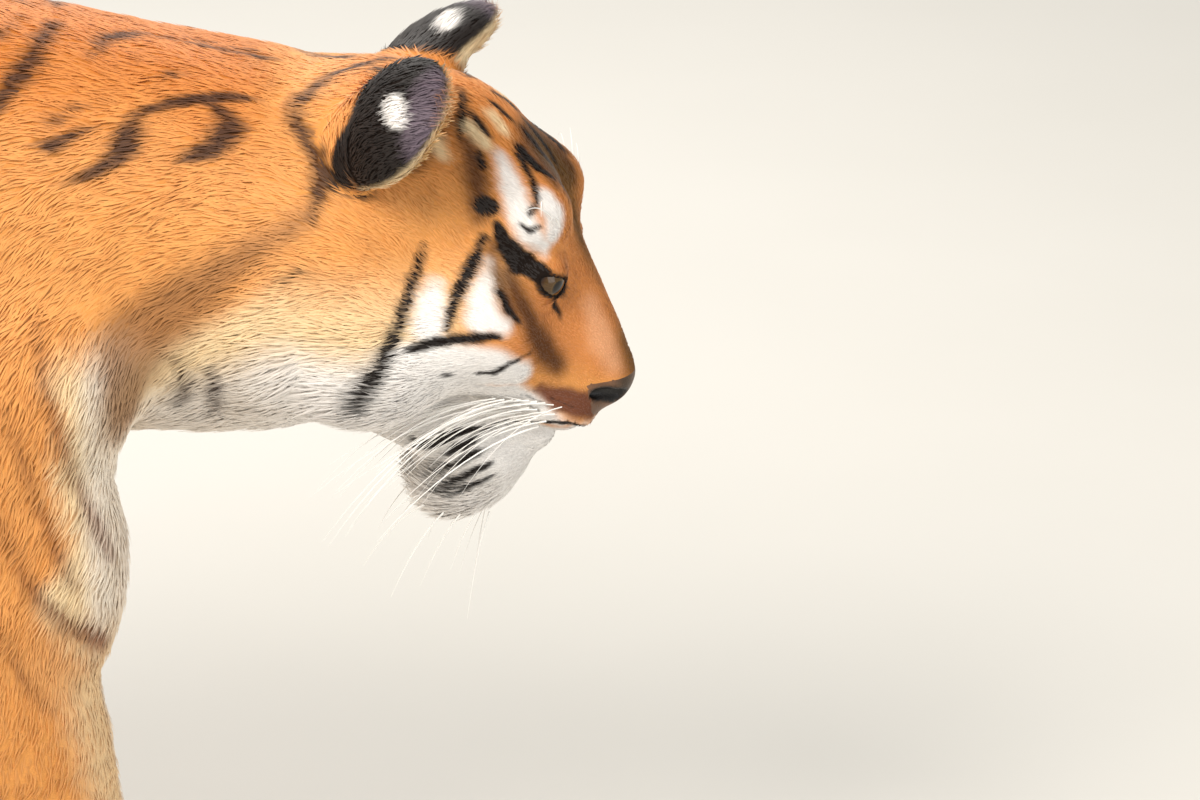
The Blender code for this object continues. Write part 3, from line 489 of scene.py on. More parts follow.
def grid_place(cells):
    """World points of grid coordinates: a cell's side follows its x, so the grid fans out backwards."""
    x = np.interp(cells[..., 0], np.arange(len(STATIONS)), STATIONS)
    step = grid_step(x)[..., None]
    across = (cells[..., 1:] - MIDDLE[1:]) * step + GRID_CENTRE[1:]
    return np.concatenate([x[..., None], across], axis=-1)


def surface_net(form):
    """Closed quads of form = 0: one point in each crossed cell, one quad on each crossed edge."""
    blocks = COUNTS // COARSE
    middles = np.stack(np.meshgrid(*[(np.arange(n) + 0.5) * COARSE for n in blocks], indexing="ij"), -1)
    rough = form(grid_place(middles.reshape(-1, 3))).reshape(blocks)
    reach = 2.0 * COARSE * grid_step(grid_place(middles)[..., 0])
    close, grid = np.abs(rough) < reach, np.where(rough < 0, -1.0, 1.0)
    for axis in range(3):
        grid, close = np.repeat(grid, COARSE, axis), np.repeat(close, COARSE, axis)
    near = np.argwhere(close)
    for start in range(0, len(near), BATCH):
        cells = near[start:start + BATCH]
        grid[tuple(cells.T)] = form(grid_place(cells.astype(float)))
    index, places, quads = [], [], []
    for axis in range(3):
        ahead = np.take(grid, np.arange(1, COUNTS[axis]), axis)
        behind = np.take(grid, np.arange(0, COUNTS[axis] - 1), axis)
        crossed = np.argwhere((ahead < 0) != (behind < 0))
        crossed = crossed[np.all((crossed > 0) & (crossed < COUNTS - 2), axis=1)]
        a, b = behind[tuple(crossed.T)], ahead[tuple(crossed.T)]
        place = crossed.astype(float)
        place[:, axis] += a / (a - b)
        u, v = (axis + 1) % 3, (axis + 2) % 3
        ring = []
        for du, dv in ((-1, -1), (0, -1), (0, 0), (-1, 0)):
            cell = crossed.copy()
            cell[:, u] += du
            cell[:, v] += dv
            ring.append(np.ravel_multi_index(cell.T, COUNTS))
            index.append(ring[-1])
            places.append(place)
        quad = np.stack(ring, 1)
        quad[a >= 0] = quad[a >= 0][:, ::-1]
        quads.append(quad)
    index, places, quads = np.concatenate(index), np.concatenate(places), np.concatenate(quads)
    names, where = np.unique(index, return_inverse=True)
    total = np.bincount(where)
    mean = np.stack([np.bincount(where, places[:, i]) / total for i in range(3)], 1)
    return grid_place(mean), np.searchsorted(names, quads)


CORNERS = np.array([(1, -1, -1), (-1, -1, 1), (-1, 1, -1), (1, 1, 1)], float)  # of a tetrahedron


def value_and_slope(form, p, reach=0.0007):
    """The field and its gradient at p, from four samples at a tetrahedron's corners."""
    samples = np.stack([form(p + corner * reach) for corner in CORNERS])
    return samples.mean(0), (samples[..., None] * CORNERS[:, None]).sum(0) / (4 * reach)


def settle(p, form, rounds=2):
    """Points moved along the field's slope onto form = 0, with their outward normals."""
    for _ in range(rounds):
        value, slope = value_and_slope(form, p)
        move = np.clip(value / np.maximum((slope ** 2).sum(1), 0.3), -0.003, 0.003)
        p = p - move[:, None] * slope
    slope = value_and_slope(form, p)[1]
    return p, slope / np.maximum(np.linalg.norm(slope, axis=1), 1e-6)[:, None]


# ---------------------------------------------------------------- the coat's colours


def linear(code):
    """Linear RGB of an sRGB hex colour."""
    value = np.array([int(code[i:i + 2], 16) for i in (1, 3, 5)]) / 255.0
    return np.where(value <= 0.04045, value / 12.92, ((value + 0.055) / 1.055) ** 2.4)


ORANGE_BACK = linear("#D07E38")      # along the spine
ORANGE_SIDE = linear("#E39C55")      # shoulders and flanks
ORANGE_NOSE = linear("#D2874A")      # the short coat of the nose's bridge
SHADE_BROWN = linear("#5E381C")            # painted shade round the eyes, on the far brow, beside the ears and on the muzzle's side
FOLD_SHADE_BROWN = linear("#804420")       # painted shade in the creases of the shoulder's folds
OLIVE_SHADE = linear("#664922")            # painted shade along the middle of the brow and the nose's bridge, and at the nose's end
# painted highlight: the lit near side of the nose's bridge, paler than its coat
LIT_PEACH = linear("#E8AC80")
CREAM = linear("#F2D6A8")
WHITE = linear("#F4EFEA")
BLACK = linear("#1A110C")
NECK_DARK = linear("#3C2010")        # the softer dark of the neck's rings
NECK_SHADE = linear("#98683E")       # painted shade in the hollow behind the ruff
EAR_SHEEN_GREY = linear("#6E5F6A")         # painted sheen: the ears' black tips greyed where light grazes the hair
LIP_RED = linear("#6E4030")          # thin coat beside the nose leather
NOSE_PALE, NOSE_DARK = linear("#80583C"), linear("#4E3A28")     # blotches of the nose leather
PAD_SKIN = linear("#4A3A36")         # soles

STRIPE_BLUR = 0.0018        # half width of a stripe's soft edge

# Marks of the face: rows of stations in the head's frame (forward, outward, up, half width).
WHITE_MARKS = (
    ((-19, 5.3, 11, 0.5), (-17.4, 6.6, 9.9, 0.9), (-15.7, 7.6, 8.6, 1.1), (-13.9, 7.6, 7.3, 1.1),
     (-12, 6.4, 6.7, 0.6)),  # over the eye
    ((-14.4, 6, 10.3, 0.9), (-12.9, 6.2, 9.5, 1.2), (-12, 6.3, 7.7, 0.8)),
    ((-18, 11.4, 1.6, 0.7), (-17.3, 12.3, -0.2, 1.1), (-16.4, 13, -1.6, 1.3)),  # between the cheek bars
    ((-15.2, 9.2, 4.2, 0.5), (-14.3, 10.6, 2, 1.1), (-13.4, 11, 0.9, 1.4), (-11.6, 10.4, 1, 0.7)),
    ((-16, 13.6, -5, 2.2), (-13.2, 12, -4, 2.4), (-10.6, 10.4, -2.8, 2.1), (-8.6, 8.9, -2.4, 1.4)),  # cheek
    ((-0.6, 0, -4.6, 0.8), (-1.2, 2.6, -4.5, 0.7), (-2, 4.6, -4.6, 0.5), (-3.4, 5.6, -4.8, 0.6)),  # upper lip
    ((-3.4, 5.4, -5, 0.8), (-6, 6.8, -5, 1.4), (-8.5, 7.8, -5.2, 2.2), (-11.5, 9.4, -7.5, 2.6),
     (-14, 12, -9, 2.8)),  # lip pad
    ((-2.5, 0, -9, 6), (-6, 0, -14, 7), (-9, 0, -17, 7.5)),  # chin
    ((-4.6, 6, -5.2, 0.9), (-6.2, 6.2, -6.6, 1.2), (-8, 6.6, -8.4, 1.4)),
    ((-6.4, 7.2, -4.6, 0.7), (-9, 8.6, -5.4, 1.3), (-12, 10.5, -6.4, 1.8)),
    ((-6, 4.5, -8.5, 2), (-9, 6, -11, 3), (-12.5, 8, -13.5, 3.6)),
    ((-16, 5, -15, 6), (-27, 7, -21, 6)),  # throat
)
CREAM_MARKS = (
    ((-22.6, 5.1, 11.6, 0.7), (-20.5, 5.3, 11.2, 0.6)),
    ((-21.2, 2.7, 12.8, 0.6), (-19.7, 3.2, 12.3, 0.5)),
    ((-24, 7, 9.6, 0.6), (-22.8, 7.4, 9, 0.5)),
)
# Painted shade: round the eyes, on the far brow, beside the ear and on the muzzle's side.
SHADE_BROWN_MARKS = (
    ((-17.4, 1, 12.2, 1.6), (-15.1, 1.4, 11.3, 2), (-13.4, 1.8, 10.4, 1.3)),
    ((-24.6, 8.6, 7.6, 1), (-24.6, 5.6, 10.8, 1)),
    ((-13.4, 8.4, 4.2, 1), (-11, 8.6, 2.6, 1.1), (-9.2, 8.2, 1.2, 1.1)),
    ((-15.6, 8.5, 5.2, 0.7), (-13.6, 9.2, 3.4, 1.1), (-11.6, 9.6, 2.2, 0.9)),
    ((-9.2, 8, 1, 1.2), (-7.6, 7, 0, 1.3), (-6, 5.8, -1, 0.9)),
    ((-17.7, 2.8, 12.1, 0.9), (-15.8, 3.4, 11.6, 0.8), (-14.2, 3.8, 11, 0.5)),
    ((-21.6, 6.2, 10.6, 0.8), (-19.4, 7.6, 8.6, 1), (-17.9, 8.6, 6.4, 0.6)),
)
# Painted shade along the face's middle: the brow, the bridge and the nose's end.
OLIVE_SHADE_MARKS = (
    ((-16, 0, 11.6, 2), (-13, 0, 10, 2.1), (-10, 0, 6.8, 1.2), (-7, 0, 4.6, 0.1)),
    ((-4, 0, 2.2, 0.4), (-2.6, 0, 1.4, 1.3), (-1, 0, 0.2, 1.8)),
)
# A painted highlight on the lit near side of the nose's bridge.
LIT_BRIDGE_MARKS = (
    ((-6.2, 2.6, 3.6, 0.9), (-4, 2.8, 1.8, 1.4), (-2.2, 2.4, 0.6, 1)),
)
PINK_MARKS = (
    ((-6, 7, -3.1, 0.6), (-4.5, 6.2, -3.1, 1), (-3, 5.3, -3, 1.2), (-1.8, 3.9, -2.9, 1.1)),
)
BLACK_MARKS = (
    ((-20, 9.8, 3, 0.38), (-19.6, 11.2, 1.6, 0.46), (-19.2, 12.6, 0.1, 0.5), (-18.7, 13.6, -1.7, 0.52),
     (-18.3, 14.3, -3.6, 0.6), (-17.9, 14.7, -5.4, 0.72), (-17.7, 14.8, -7.2, 0.85), (-17.6, 14.5, -9.2, 0.95),
     (-17.4, 13.6, -11.2, 0.75)),  # long cheek bar
    ((-16.7, 8.5, 5.3, 0.4), (-16.4, 9.3, 3.6, 0.64), (-16.3, 10.6, 2, 0.58), (-15.8, 11.8, 0.4, 0.44),
     (-15.2, 12.4, -1, 0.26)),  # short cheek bar
    ((-16.8, 13.8, -3.7, 0.34), (-15.8, 13.2, -2.6, 0.5), (-14.3, 12.3, -1.5, 0.5), (-12.8, 11.5, -0.6, 0.48),
     (-11.4, 10.7, 0.2, 0.24)),  # level bar under the eye
    ((-11.2, 10.9, -3.5, 0.18), (-10.1, 10.4, -2.9, 0.28), (-9.5, 10, -1.5, 0.24), (-8.5, 8.5, 0, 0.14)),
    ((-13.2, 12, -4.6, 0.24), (-12.6, 11.8, -4.5, 0.2)),
    ((-16.4, 13.9, -6, 0.2), (-15.6, 13.7, -5.8, 0.2)),
    ((-18.2, 8.2, 7.5, 0.88), (-17.8, 8, 7.5, 0.88)),  # round spot
    ((-19.8, 6.6, 9.9, 0.5), (-20.5, 6.1, 10.5, 0.35)),
    # The upper lid's black rim, widened into painted shade under the brow.
    ((-16.4, 8.2, 6.6, 0.45), (-15.1, 8.1, 5.7, 0.66), (-13.4, 7.6, 5.1, 0.85), (-11.6, 7, 5, 0.95),
     (-9.3, 4.2, 3.9, 0.8)),  # upper lid's line
    ((-13.4, 9.4, 3.1, 0.35), (-12.2, 9.8, 2.3, 0.42), (-10.8, 9.5, 1.7, 0.22)),
    ((-17.8, 4.1, 11.6, 0.5), (-16, 5.5, 10.9, 0.4), (-14.8, 6.6, 9.8, 0.28), (-14.7, 7.4, 8.8, 0.28)),
    ((-14.8, 7.8, 7.6, 0.18), (-13.9, 7.5, 7.5, 0.32), (-13.5, 7.2, 8.2, 0.2)),
    ((-17.9, 3.4, 11.9, 0.62), (-16.2, 3.8, 11.5, 0.6), (-14.4, 3.2, 11.1, 0.25)),
    ((-18.8, 1, 12.2, 0.3), (-16.6, 0.9, 11.8, 0.42), (-14.4, 0.6, 10.6, 0.2)),
    ((-21.8, 1.2, 13.2, 0.4), (-19.6, 1.4, 12.7, 0.3)),
    ((-23.4, 3.6, 12.8, 0.4), (-21.8, 4.4, 12.2, 0.5), (-20.4, 4.6, 11.6, 0.25)),
    ((-26.4, 0.3, 13.2, 0.4), (-24.2, 2.2, 13.1, 0.55), (-23.4, 4.8, 12, 0.5), (-22.4, 6.4, 10.6, 0.25)),
    ((-28.6, 1.6, 12.4, 0.5), (-27.6, 4.2, 11.6, 0.45)),
    ((-32.2, 0, 10.2, 0.45), (-29, 3, 10.6, 0.4)),
    ((-22.8, 8.6, 8.2, 0.35), (-21.8, 9.6, 5.6, 0.5), (-21.6, 10.6, 3.2, 0.25)),
    ((-29.6, 10.4, 6.5, 1.3), (-28.6, 11.2, 4.6, 1.5), (-26.5, 10.8, 4.6, 0.9)),  # foot of the ear
    ((-25.6, 12.6, 1, 0.2), (-27.4, 14.8, -3, 0.35), (-28.6, 15, -7.5, 0.2)),
    ((-7.4, 5.8, -9.7, 0.55), (-8.9, 6.6, -11.5, 0.5), (-10.2, 4.4, -14.8, 0.2)),  # chin
    ((-6.2, 5.3, -9.8, 0.28), (-7.6, 5.9, -11.6, 0.46), (-8.9, 4.9, -14.3, 0.44), (-9.5, 3.1, -16.5, 0.2)),
    ((-5.4, 5.1, -10.8, 0.22), (-6.6, 5.2, -12.7, 0.42), (-7.7, 4.1, -15.6, 0.46), (-8.3, 3.2, -17.2, 0.24)),
    ((-5, 4.6, -12.5, 0.18), (-6.3, 4.3, -14.7, 0.38), (-7.2, 3.5, -16.8, 0.18)),
    ((-8, 5.8, -9, 0.3), (-9.4, 7, -10, 0.55), (-10.4, 7.4, -11.3, 0.8), (-11.5, 7, -13.2, 0.6)),
    ((-9.6, 5, 3.2, 0.4), (-8.2, 4.3, 2, 0.28), (-7.2, 4.4, 0.6, 0.1)),  # tear line
)
WHISKER_ROWS = tuple(((-3.0 - 0.3 * row, 5.6 + 0.2 * row, -3.2 - 0.75 * row, 0.06),
                      (-7.8, 7.8 - 0.1 * row, -3.4 - 0.85 * row, 0.10)) for row in range(3))

# Marks of the neck: the same in the forms' own frame, y outwards, in centimetres.
NECK_MARKS = (
    ((69, 1, 87.5, 0.4), (65, 3, 87, 0.5), (63, 7, 86, 0.65), (63, 8.7, 85, 0.65), (64.5, 11, 83, 0.6),
     (65, 12.7, 81, 0.65), (64.5, 14.5, 78.5, 0.3)),  # ring behind the ears
    ((46.5, 13.7, 81.7, 0.3), (49, 13, 82.5, 0.6), (50.5, 12, 83.5, 1), (51, 11, 85, 1.1), (51.3, 10, 85.7, 0.5)),
    ((51, 10, 85.7, 0.25), (54, 8.5, 86.5, 0.5), (57, 7.5, 86.6, 0.7), (60, 7, 86.3, 0.3)),
    ((57, 8, 86, 0.5), (58.5, 9.5, 85, 1.1), (57.3, 11, 83.5, 1), (54.5, 12, 82.8, 0.3)),
    ((53.6, 6, 88, 0.4), (54, 5.8, 88, 0.4)),
    ((47, 10, 86.6, 0.3), (45, 11.5, 85.6, 0.3)),
    ((48, 11, 85.3, 0.25), (45.3, 12.4, 84.2, 0.6), (43.8, 12.7, 84.2, 0.15)),
    ((45, 2, 91, 0.5), (43.5, 7, 89.5, 0.85), (42, 9.5, 88, 0.9), (40.5, 11.5, 86.5, 0.6)),
    ((40.5, 6, 91, 0.6), (42, 2, 91.5, 0.4)),
    ((47.7, 5.7, 89.3, 0.25), (49, 2.5, 89.8, 0.65), (51.3, 0.3, 89.5, 0.4)),
    ((52.5, 0.4, 89.3, 0.2), (61, 1.2, 87.6, 0.4)),
    ((54.2, 14.3, 66.7, 0.3), (54.5, 13.2, 64.2, 0.6), (54, 11, 61.3, 0.3)),  # throat
    ((56.4, 14.3, 66.5, 0.3), (56.6, 13.3, 64.3, 0.6), (56.6, 10, 60.5, 0.3)),
)
# Painted shade in the hollow behind the ruff.
NECK_HOLLOW_SHADE = (
    ((50.5, 16, 64, 2.6), (51.5, 16, 69, 3.2), (54.5, 15, 72, 2.2), (58.5, 15, 75.5, 1.3), (64, 14.3, 79, 0.6)),
)
FRONT_EDGE = ((0.33, 0.43, 0.465, 0.50, 0.54, 0.59, 0.64, 0.70, 0.74),  # where the front's cream begins: z, x
              (0.476, 0.462, 0.462, 0.443, 0.458, 0.474, 0.462, 0.455, 0.500))


def vectors(*parts):
    """Points or vectors put together from their columns; a number stands for a whole column."""
    return np.stack(np.broadcast_arrays(*parts), -1)


def inside(gap, blur=STRIPE_BLUR):
    """1 within a mark, where the gap to its edge is negative, and 0 outside it."""
    return smooth(blur, -blur, gap)


def along_paths(p, marks, blur):
    """1 on any of the bars through these stations, falling to 0 over twice the blur at their edges."""
    amount = np.zeros(len(p))
    for mark in marks:
        stations = np.array(mark, float)
        room = stations[:, 3].max() + 2 * blur
        low, high = stations[:, :3].min(0) - room, stations[:, :3].max(0) + room
        near = np.flatnonzero(np.all((p > low) & (p < high), axis=1))
        if len(near):
            amount[near] = np.maximum(amount[near], inside(groove(p[near], stations), blur))
    return amount


def ripple(p, size, seed):
    """Smooth noise between about -1 and 1 with features of this size: seven sine waves in seeded directions."""
    waves = np.random.default_rng(seed)
    total = np.zeros(len(p))
    for _ in range(7):
        direction = waves.normal(size=3)
        direction *= waves.uniform(0.6, 1.5) / np.linalg.norm(direction)
        total += np.sin(p @ direction * (2 * np.pi / size) + waves.uniform(0, 2 * np.pi))
    return total / 3.0


def wobble(p, size, reach, seed):
    """A small smooth vector for each point, which roughens the edges of marks."""
    return reach * vectors(*(ripple(p, size, seed + i) for i in range(3)))


GIRTH = 0.19                # mean radius of the trunk, which turns an angle into a length


def girth_angle(p):
    """Angle round the trunk from the spine (0) by the flank to the belly (pi)."""
    place, top, low, _ = np.array(TRUNK).T
    middle = (curve_through(p[:, 0], place, top) + curve_through(p[:, 0], place, low)) / 2
    return np.arctan2(np.abs(p[:, 1]), p[:, 2] - middle)


def flank_stripes(p, side):
    """Pairs of dark lines that leave the spine, part, and meet again low on the flank."""
    rng = np.random.default_rng(11 if side < 0 else 23)
    arc = girth_angle(p) * GIRTH
    x = p[:, 0] + 0.006 * ripple(p, 0.09, 5) + 0.0015 * ripple(p, 0.015, 6)
    amount = np.zeros(len(p))
    place = 0.345
    while place > -0.66:
        first, last = rng.uniform(-0.050, 0.020), rng.uniform(0.30, 0.44)
        lean, phase = rng.uniform(-0.02, 0.16), rng.uniform(0, 6.3)
        part, half = rng.uniform(0.0, 0.024) * (rng.random() > 0.25), rng.uniform(0.0055, 0.0095)
        t = (arc - first) / (last - first)
        ends = (t > 0) & (t < 1)
        s = np.sin(np.pi * np.clip(t, 0, 1))
        centre = place - lean * (arc - first) + 0.010 * np.sin(6 * t + phase)
        width = half * s ** 0.7 * (0.75 + 0.35 * np.sin(9 * t + 2 * phase))
        gap = np.minimum(np.abs(x - centre - part * s ** 1.3), np.abs(x - centre + part * s ** 1.3)) - width
        amount = np.maximum(amount, inside(gap) * ends)
        if rng.random() > 0.35:
            start = rng.uniform(0.36, 0.42)
            t = (arc - start) / 0.16
            ends = (t > 0) & (t < 1)
            gap = np.abs(x - place + 0.035 + 0.05 * t) - 0.0065 * np.sin(np.pi * np.clip(t, 0, 1)) ** 0.8
            amount = np.maximum(amount, inside(gap) * ends)
        place -= rng.uniform(0.055, 0.088)
    return amount


def leg_bars(p, top, foot, bars, seed):
    """Dark bars across a leg: for each, how far down the leg, half width, and how far round they reach."""
    rng = np.random.default_rng(seed)
    length, run = np.linalg.norm(np.subtract(foot, top)), unit(np.subtract(foot, top))
    off = p - top
    down = off @ run
    round_about = np.arctan2(off[:, 0] - down * run[0], np.abs(off[:, 1]) + 1e-4)
    t = down / length
    amount = np.zeros(len(p))
    for place, half, reach in bars:
        tilt, phase = rng.uniform(-0.03, 0.06), rng.uniform(0, 6.3)
        centre = place + tilt * round_about + 0.012 * np.sin(3 * round_about + phase)
        width = half * np.clip(1 - (np.abs(round_about - rng.uniform(-0.9, 0.3)) / reach) ** 2, 0, 1)
        gap = np.abs(t - centre) * length - width
        amount = np.maximum(amount, inside(gap) * (width > 0.0008))
    return amount


THIGH_BARS = tuple((0.10 + 0.125 * i, 0.0085 - 0.0006 * i, 1.7) for i in range(8))
FOREARM_BARS = ((0.30, 0.0035, 0.6), (0.52, 0.0032, 0.6), (0.70, 0.0030, 0.6))


def legs_stripes(p, outward):
    """The bars of all four legs: thighs and hocks outside and behind, forearms on the inside only."""
    amount = np.zeros(len(p))
    for leg, side, _, _ in LEGS:
        hind = "hip" in leg
        on_side = p[:, 1] * side > 0
        if hind:
            near = np.flatnonzero(on_side & (p[:, 0] < leg["knee"][0] + 0.10) & (p[:, 0] > -0.76))
            bars = leg_bars(p[near], leg["hip"], leg["hock"], THIGH_BARS, 31 + side)
            front = curve_through(p[near, 2], (0.30, 0.50, 0.70), (-0.60, leg["knee"][0] + 0.07, -0.34))
            bars = bars * smooth(0.72, 0.66, p[near, 2]) * smooth(front + 0.02, front - 0.02, p[near, 0])
        else:
            near = np.flatnonzero(on_side & (p[:, 0] > 0.05) & (p[:, 2] < 0.52))
            bars = leg_bars(p[near], leg["elbow"], leg["wrist"], FOREARM_BARS, 41 + side)
            bars = bars * smooth(0.1, -0.5, outward[near])
        amount[near] = np.maximum(amount[near], bars * smooth(0.08, 0.14, p[near, 2]))
    return amount


def tail_place(p):
    """Length along the tail of the nearest point of its middle line."""
    path = np.array(TAIL)[:, :3]
    best, place, start = np.full(len(p), np.inf), np.zeros(len(p)), 0.0
    for i in range(len(path) - 1):
        run = path[i + 1] - path[i]
        length = np.linalg.norm(run)
        t = np.clip((p - path[i]) @ run / length ** 2, 0.0, 1.0)
        gap = np.linalg.norm(p - path[i] - t[:, None] * run, axis=1)
        nearer = gap < best
        best[nearer], place[nearer] = gap[nearer], (start + t * length)[nearer]
        start += length
    return place


def mix(first, second, amount):
    """A colour between two, by an amount for each point."""
    return first + (second - first) * amount[:, None]


def ear_local(q):
    """Ear-frame coordinates (across, out of the hollow, along) of head-frame points, in the nearer ear."""
    side = np.where(q[:, 1] < 0, -1, 1)
    local = np.zeros_like(q)
    for hand in (-1, 1):
        base, axes, _ = ear_frame(hand)
        own = side == hand
        local[own] = (q[own] * (1, hand, 1) - base) @ axes
    return local


def body_colour(p, n, side):
    """Orange above, cream low on the flanks, white on the belly, on the chest's front and inside the legs."""
    x, y, z = p.T
    outward = n[:, 1] * side
    is_low = smooth(0.50, 0.42, z) * np.maximum(smooth(0.13, 0.20, x), smooth(-0.12, -0.22, x))
    angle = girth_angle(p) / np.pi + 0.02 * ripple(p, 0.10, 12)
    body = mix(ORANGE_BACK, ORANGE_SIDE, smooth(0.06, 0.34, angle))
    ahead = smooth(0.20, 0.34, x + 0.13 * (side > 0))  # the left foreleg is further back
    haunch = smooth(-0.20, -0.32, x)
    body = mix(body, CREAM, smooth(0.54, 0.68, angle) * 0.85 * (1 - ahead) * (1 - haunch))
    body = mix(body, WHITE, smooth(0.66, 0.80, angle) * (1 - 0.5 * is_low) * (1 - ahead) * (1 - haunch))
    edge = curve_through(z, *FRONT_EDGE) + 0.006 * ripple(p, 0.05, 13)
    front = np.maximum(smooth(-0.014, 0.012, x - edge), smooth(0.30, 0.62, n[:, 0]))
    front = front * smooth(0.715, 0.665, z) * smooth(0.53, 0.49, x)
    front = np.maximum(front, smooth(0.13, 0.08, np.abs(y)) * smooth(0.62, 0.52, z))
    front = front * ahead * smooth(0.36, 0.42, x + 0.10 * (z < 0.5))
    body = mix(body, CREAM, front)
    middle, edge_hair = smooth(0.20, 0.12, np.abs(y)), smooth(0.466, 0.490, x)
    body = mix(body, WHITE, front * np.maximum(0.7 * middle, 0.6 * edge_hair))
    leg = mix(ORANGE_SIDE, CREAM, smooth(0.45, 0.90, n[:, 0]) * 0.75 * smooth(0.12, 0.2, x))
    leg = mix(leg, WHITE, smooth(0.15, -0.40, outward) * 0.9)
    leg = mix(leg, WHITE, smooth(0.09, 0.05, np.abs(y)) * smooth(0.36, 0.42, z))
    leg = mix(leg, CREAM, smooth(0.16, 0.05, z) * 0.45)
    body = mix(body, WHITE, haunch * smooth(-0.1, -0.6, outward) * smooth(0.72, 0.62, z))
    throat = smooth(0.47, 0.53, x)
    under = z - 0.69 - 0.6 * (x - 0.545)  # the neck's pale edge climbs to the ruff
    body = mix(body, CREAM, throat * smooth(0.02, -0.015, under))
    body = mix(body, WHITE, throat * smooth(-0.02, -0.07, under) * 0.8)
    return mix(body, leg, is_low)


def face_colour(q):
    """The head's ground colours and pale marks, with painted shade and a painted highlight, at head-frame points with
    y outwards.
    """
    ahead, _, up = q.T
    face = mix(ORANGE_SIDE, ORANGE_BACK, smooth(5.0, 12.0, up) * 0.6)
    face = mix(face, ORANGE_NOSE, smooth(-14.0, -9.0, ahead) * smooth(-2.5, 0.5, up))
    # A painted highlight on the nose's bridge, then painted shade round the eyes, on the brow and along the face's
    # middle.
    face = mix(face, LIT_PEACH, 0.7 * along_paths(q, LIT_BRIDGE_MARKS, 0.9))
    face = mix(face, SHADE_BROWN, 0.95 * along_paths(q, SHADE_BROWN_MARKS, 0.9))
    face = mix(face, OLIVE_SHADE, 0.8 * along_paths(q, OLIVE_SHADE_MARKS, 1.3))
    fall = up - 0.55 * (ahead + 21.0)
    rear = smooth(-12.0, -17.0, ahead)
    face = mix(face, CREAM, smooth(3.0, -6.0, fall) * rear * 0.9)
    face = mix(face, WHITE, smooth(-5.0, -10.5, fall) * rear)
    face = mix(face, WHITE, smooth(-4.0, -5.0, up) * smooth(-6.0, -8.0, ahead) * smooth(-20.0, -17.0, ahead))
    face = mix(face, CREAM, along_paths(q, CREAM_MARKS, 0.5))
    face = mix(face, WHITE, along_paths(q, WHITE_MARKS, 0.6))
    return mix(face, LIP_RED, 0.95 * along_paths(q, PINK_MARKS, 0.4))


def ear_colour(p, local):
    """Colour on the ears: pale hair in the hollow, black behind, with a painted grey sheen at the tip, and a white
    spot.
    """
    behind = smooth(0.6, -0.2, local[:, 1])
    ear = mix(CREAM, BLACK, behind)
    # Painted sheen: the black tips greyed where light grazes them.
    ear = mix(ear, EAR_SHEEN_GREY, behind * smooth(8.8, 9.8, local[:, 2] + 0.15 * local[:, 0]) * 0.85)
    right = p[:, 1] < 0
    across, up = local[:, 0] - np.where(right, 0.9, -2.6), local[:, 2] - np.where(right, 8.0, 7.0)
    spot = smooth(1.15, 0.85, np.hypot((across + 0.5 * up) / 2.0, (up - 0.5 * across) / 1.15))
    return mix(ear, WHITE, spot * behind)


def coat_colour(p, n):
    """Linear colour of the coat at points of its outer form with these outward normals."""
    x, y, z = p.T
    side = np.where(y < 0, -1.0, 1.0)
    far = (side > 0)[:, None]  # the left side's marks differ a little from the right's
    out = p * vectors(1, side, 1)
    q = mirrored_head(p) + far * wobble(p, 0.12, 0.35, 1) + wobble(p, 0.012, 0.07, 7)
    is_head = smooth(0.585, 0.640, x) * smooth(0.46, 0.50, z)
    colour = body_colour(p, n, side)

    stripes = np.zeros(len(p))
    for hand in (-1, 1):
        own = side == hand
        stripes[own] = flank_stripes(p[own], hand)
    stripes *= smooth(0.36, 0.30, x) * smooth(0.44, 0.50, z)
    thigh = smooth(-0.22, -0.34, x) * smooth(0.74, 0.66, z)
    stripes = np.maximum(stripes * (1 - thigh), legs_stripes(p, n[:, 1] * side))
    colour = mix(colour, BLACK, stripes)
    # Painted shade in the creases of the right shoulder's folds.
    colour = mix(colour, FOLD_SHADE_BROWN, 0.85 * along_paths(out, FOLDS, 0.006) * (side < 0))

    colour = mix(colour, face_colour(q), is_head)
    # Painted shade in the hollow behind the ruff.
    colour = mix(colour, NECK_SHADE, 0.8 * along_paths(out / CM, NECK_HOLLOW_SHADE, 1.4))
    rough = far * wobble(p, 0.15, 0.010, 4) + wobble(p, 0.02, 0.0015, 7)
    colour = mix(colour, NECK_DARK, 0.95 * along_paths((out + rough) / CM, NECK_MARKS, 0.35))
    marks = along_paths(q, BLACK_MARKS, 0.16)
    marks = np.maximum(marks, 0.7 * along_paths(q, WHISKER_ROWS, 0.06))
    below = q[:, 2] - lip_line(q)
    lips = smooth(0.45, 0.20, np.abs(below + 0.15)) * smooth(-12.8, -12.0, q[:, 0]) * smooth(-1.0, -1.6, q[:, 0])
    marks = np.maximum(marks, lips * is_head)
    marks = np.maximum(marks, smooth(0.75, 0.35, eye_hollow(q)) * is_head)
    colour = mix(colour, BLACK, marks * smooth(0.56, 0.60, x))
    local = ear_local(to_head(p))
    colour = mix(colour, ear_colour(p, local), smooth(0.006, 0.002, ears_form(p)) * smooth(1.6, 2.4, local[:, 2]))

    # The tail: dark rings, its end wholly dark, pale underneath.
    along = tail_place(p)
    tail = mix(ORANGE_SIDE, CREAM, smooth(0.3, -0.6, n[:, 2] + 0.4 * n[:, 0]))
    turn = along + 0.006 * ripple(p, 0.05, 14)
    ring = np.maximum(smooth(0.010, 0.006, np.abs((turn % 0.072) - 0.036) * (0.9 + 0.2 * np.sin(40 * along))),
                      smooth(0.80, 0.82, along))
    tail = mix(tail, BLACK, ring * smooth(0.12, 0.18, along))
    colour = mix(colour, tail, smooth(-0.690, -0.720, x))
    return mix(colour, PAD_SKIN, smooth(0.004, 0.0015, z))


# ---------------------------------------------------------------- how the coat lies


def unit_rows(v):
    """Each vector along the last axis at length 1."""
    return v / np.maximum(np.linalg.norm(v, axis=-1), 1e-9)[..., None]


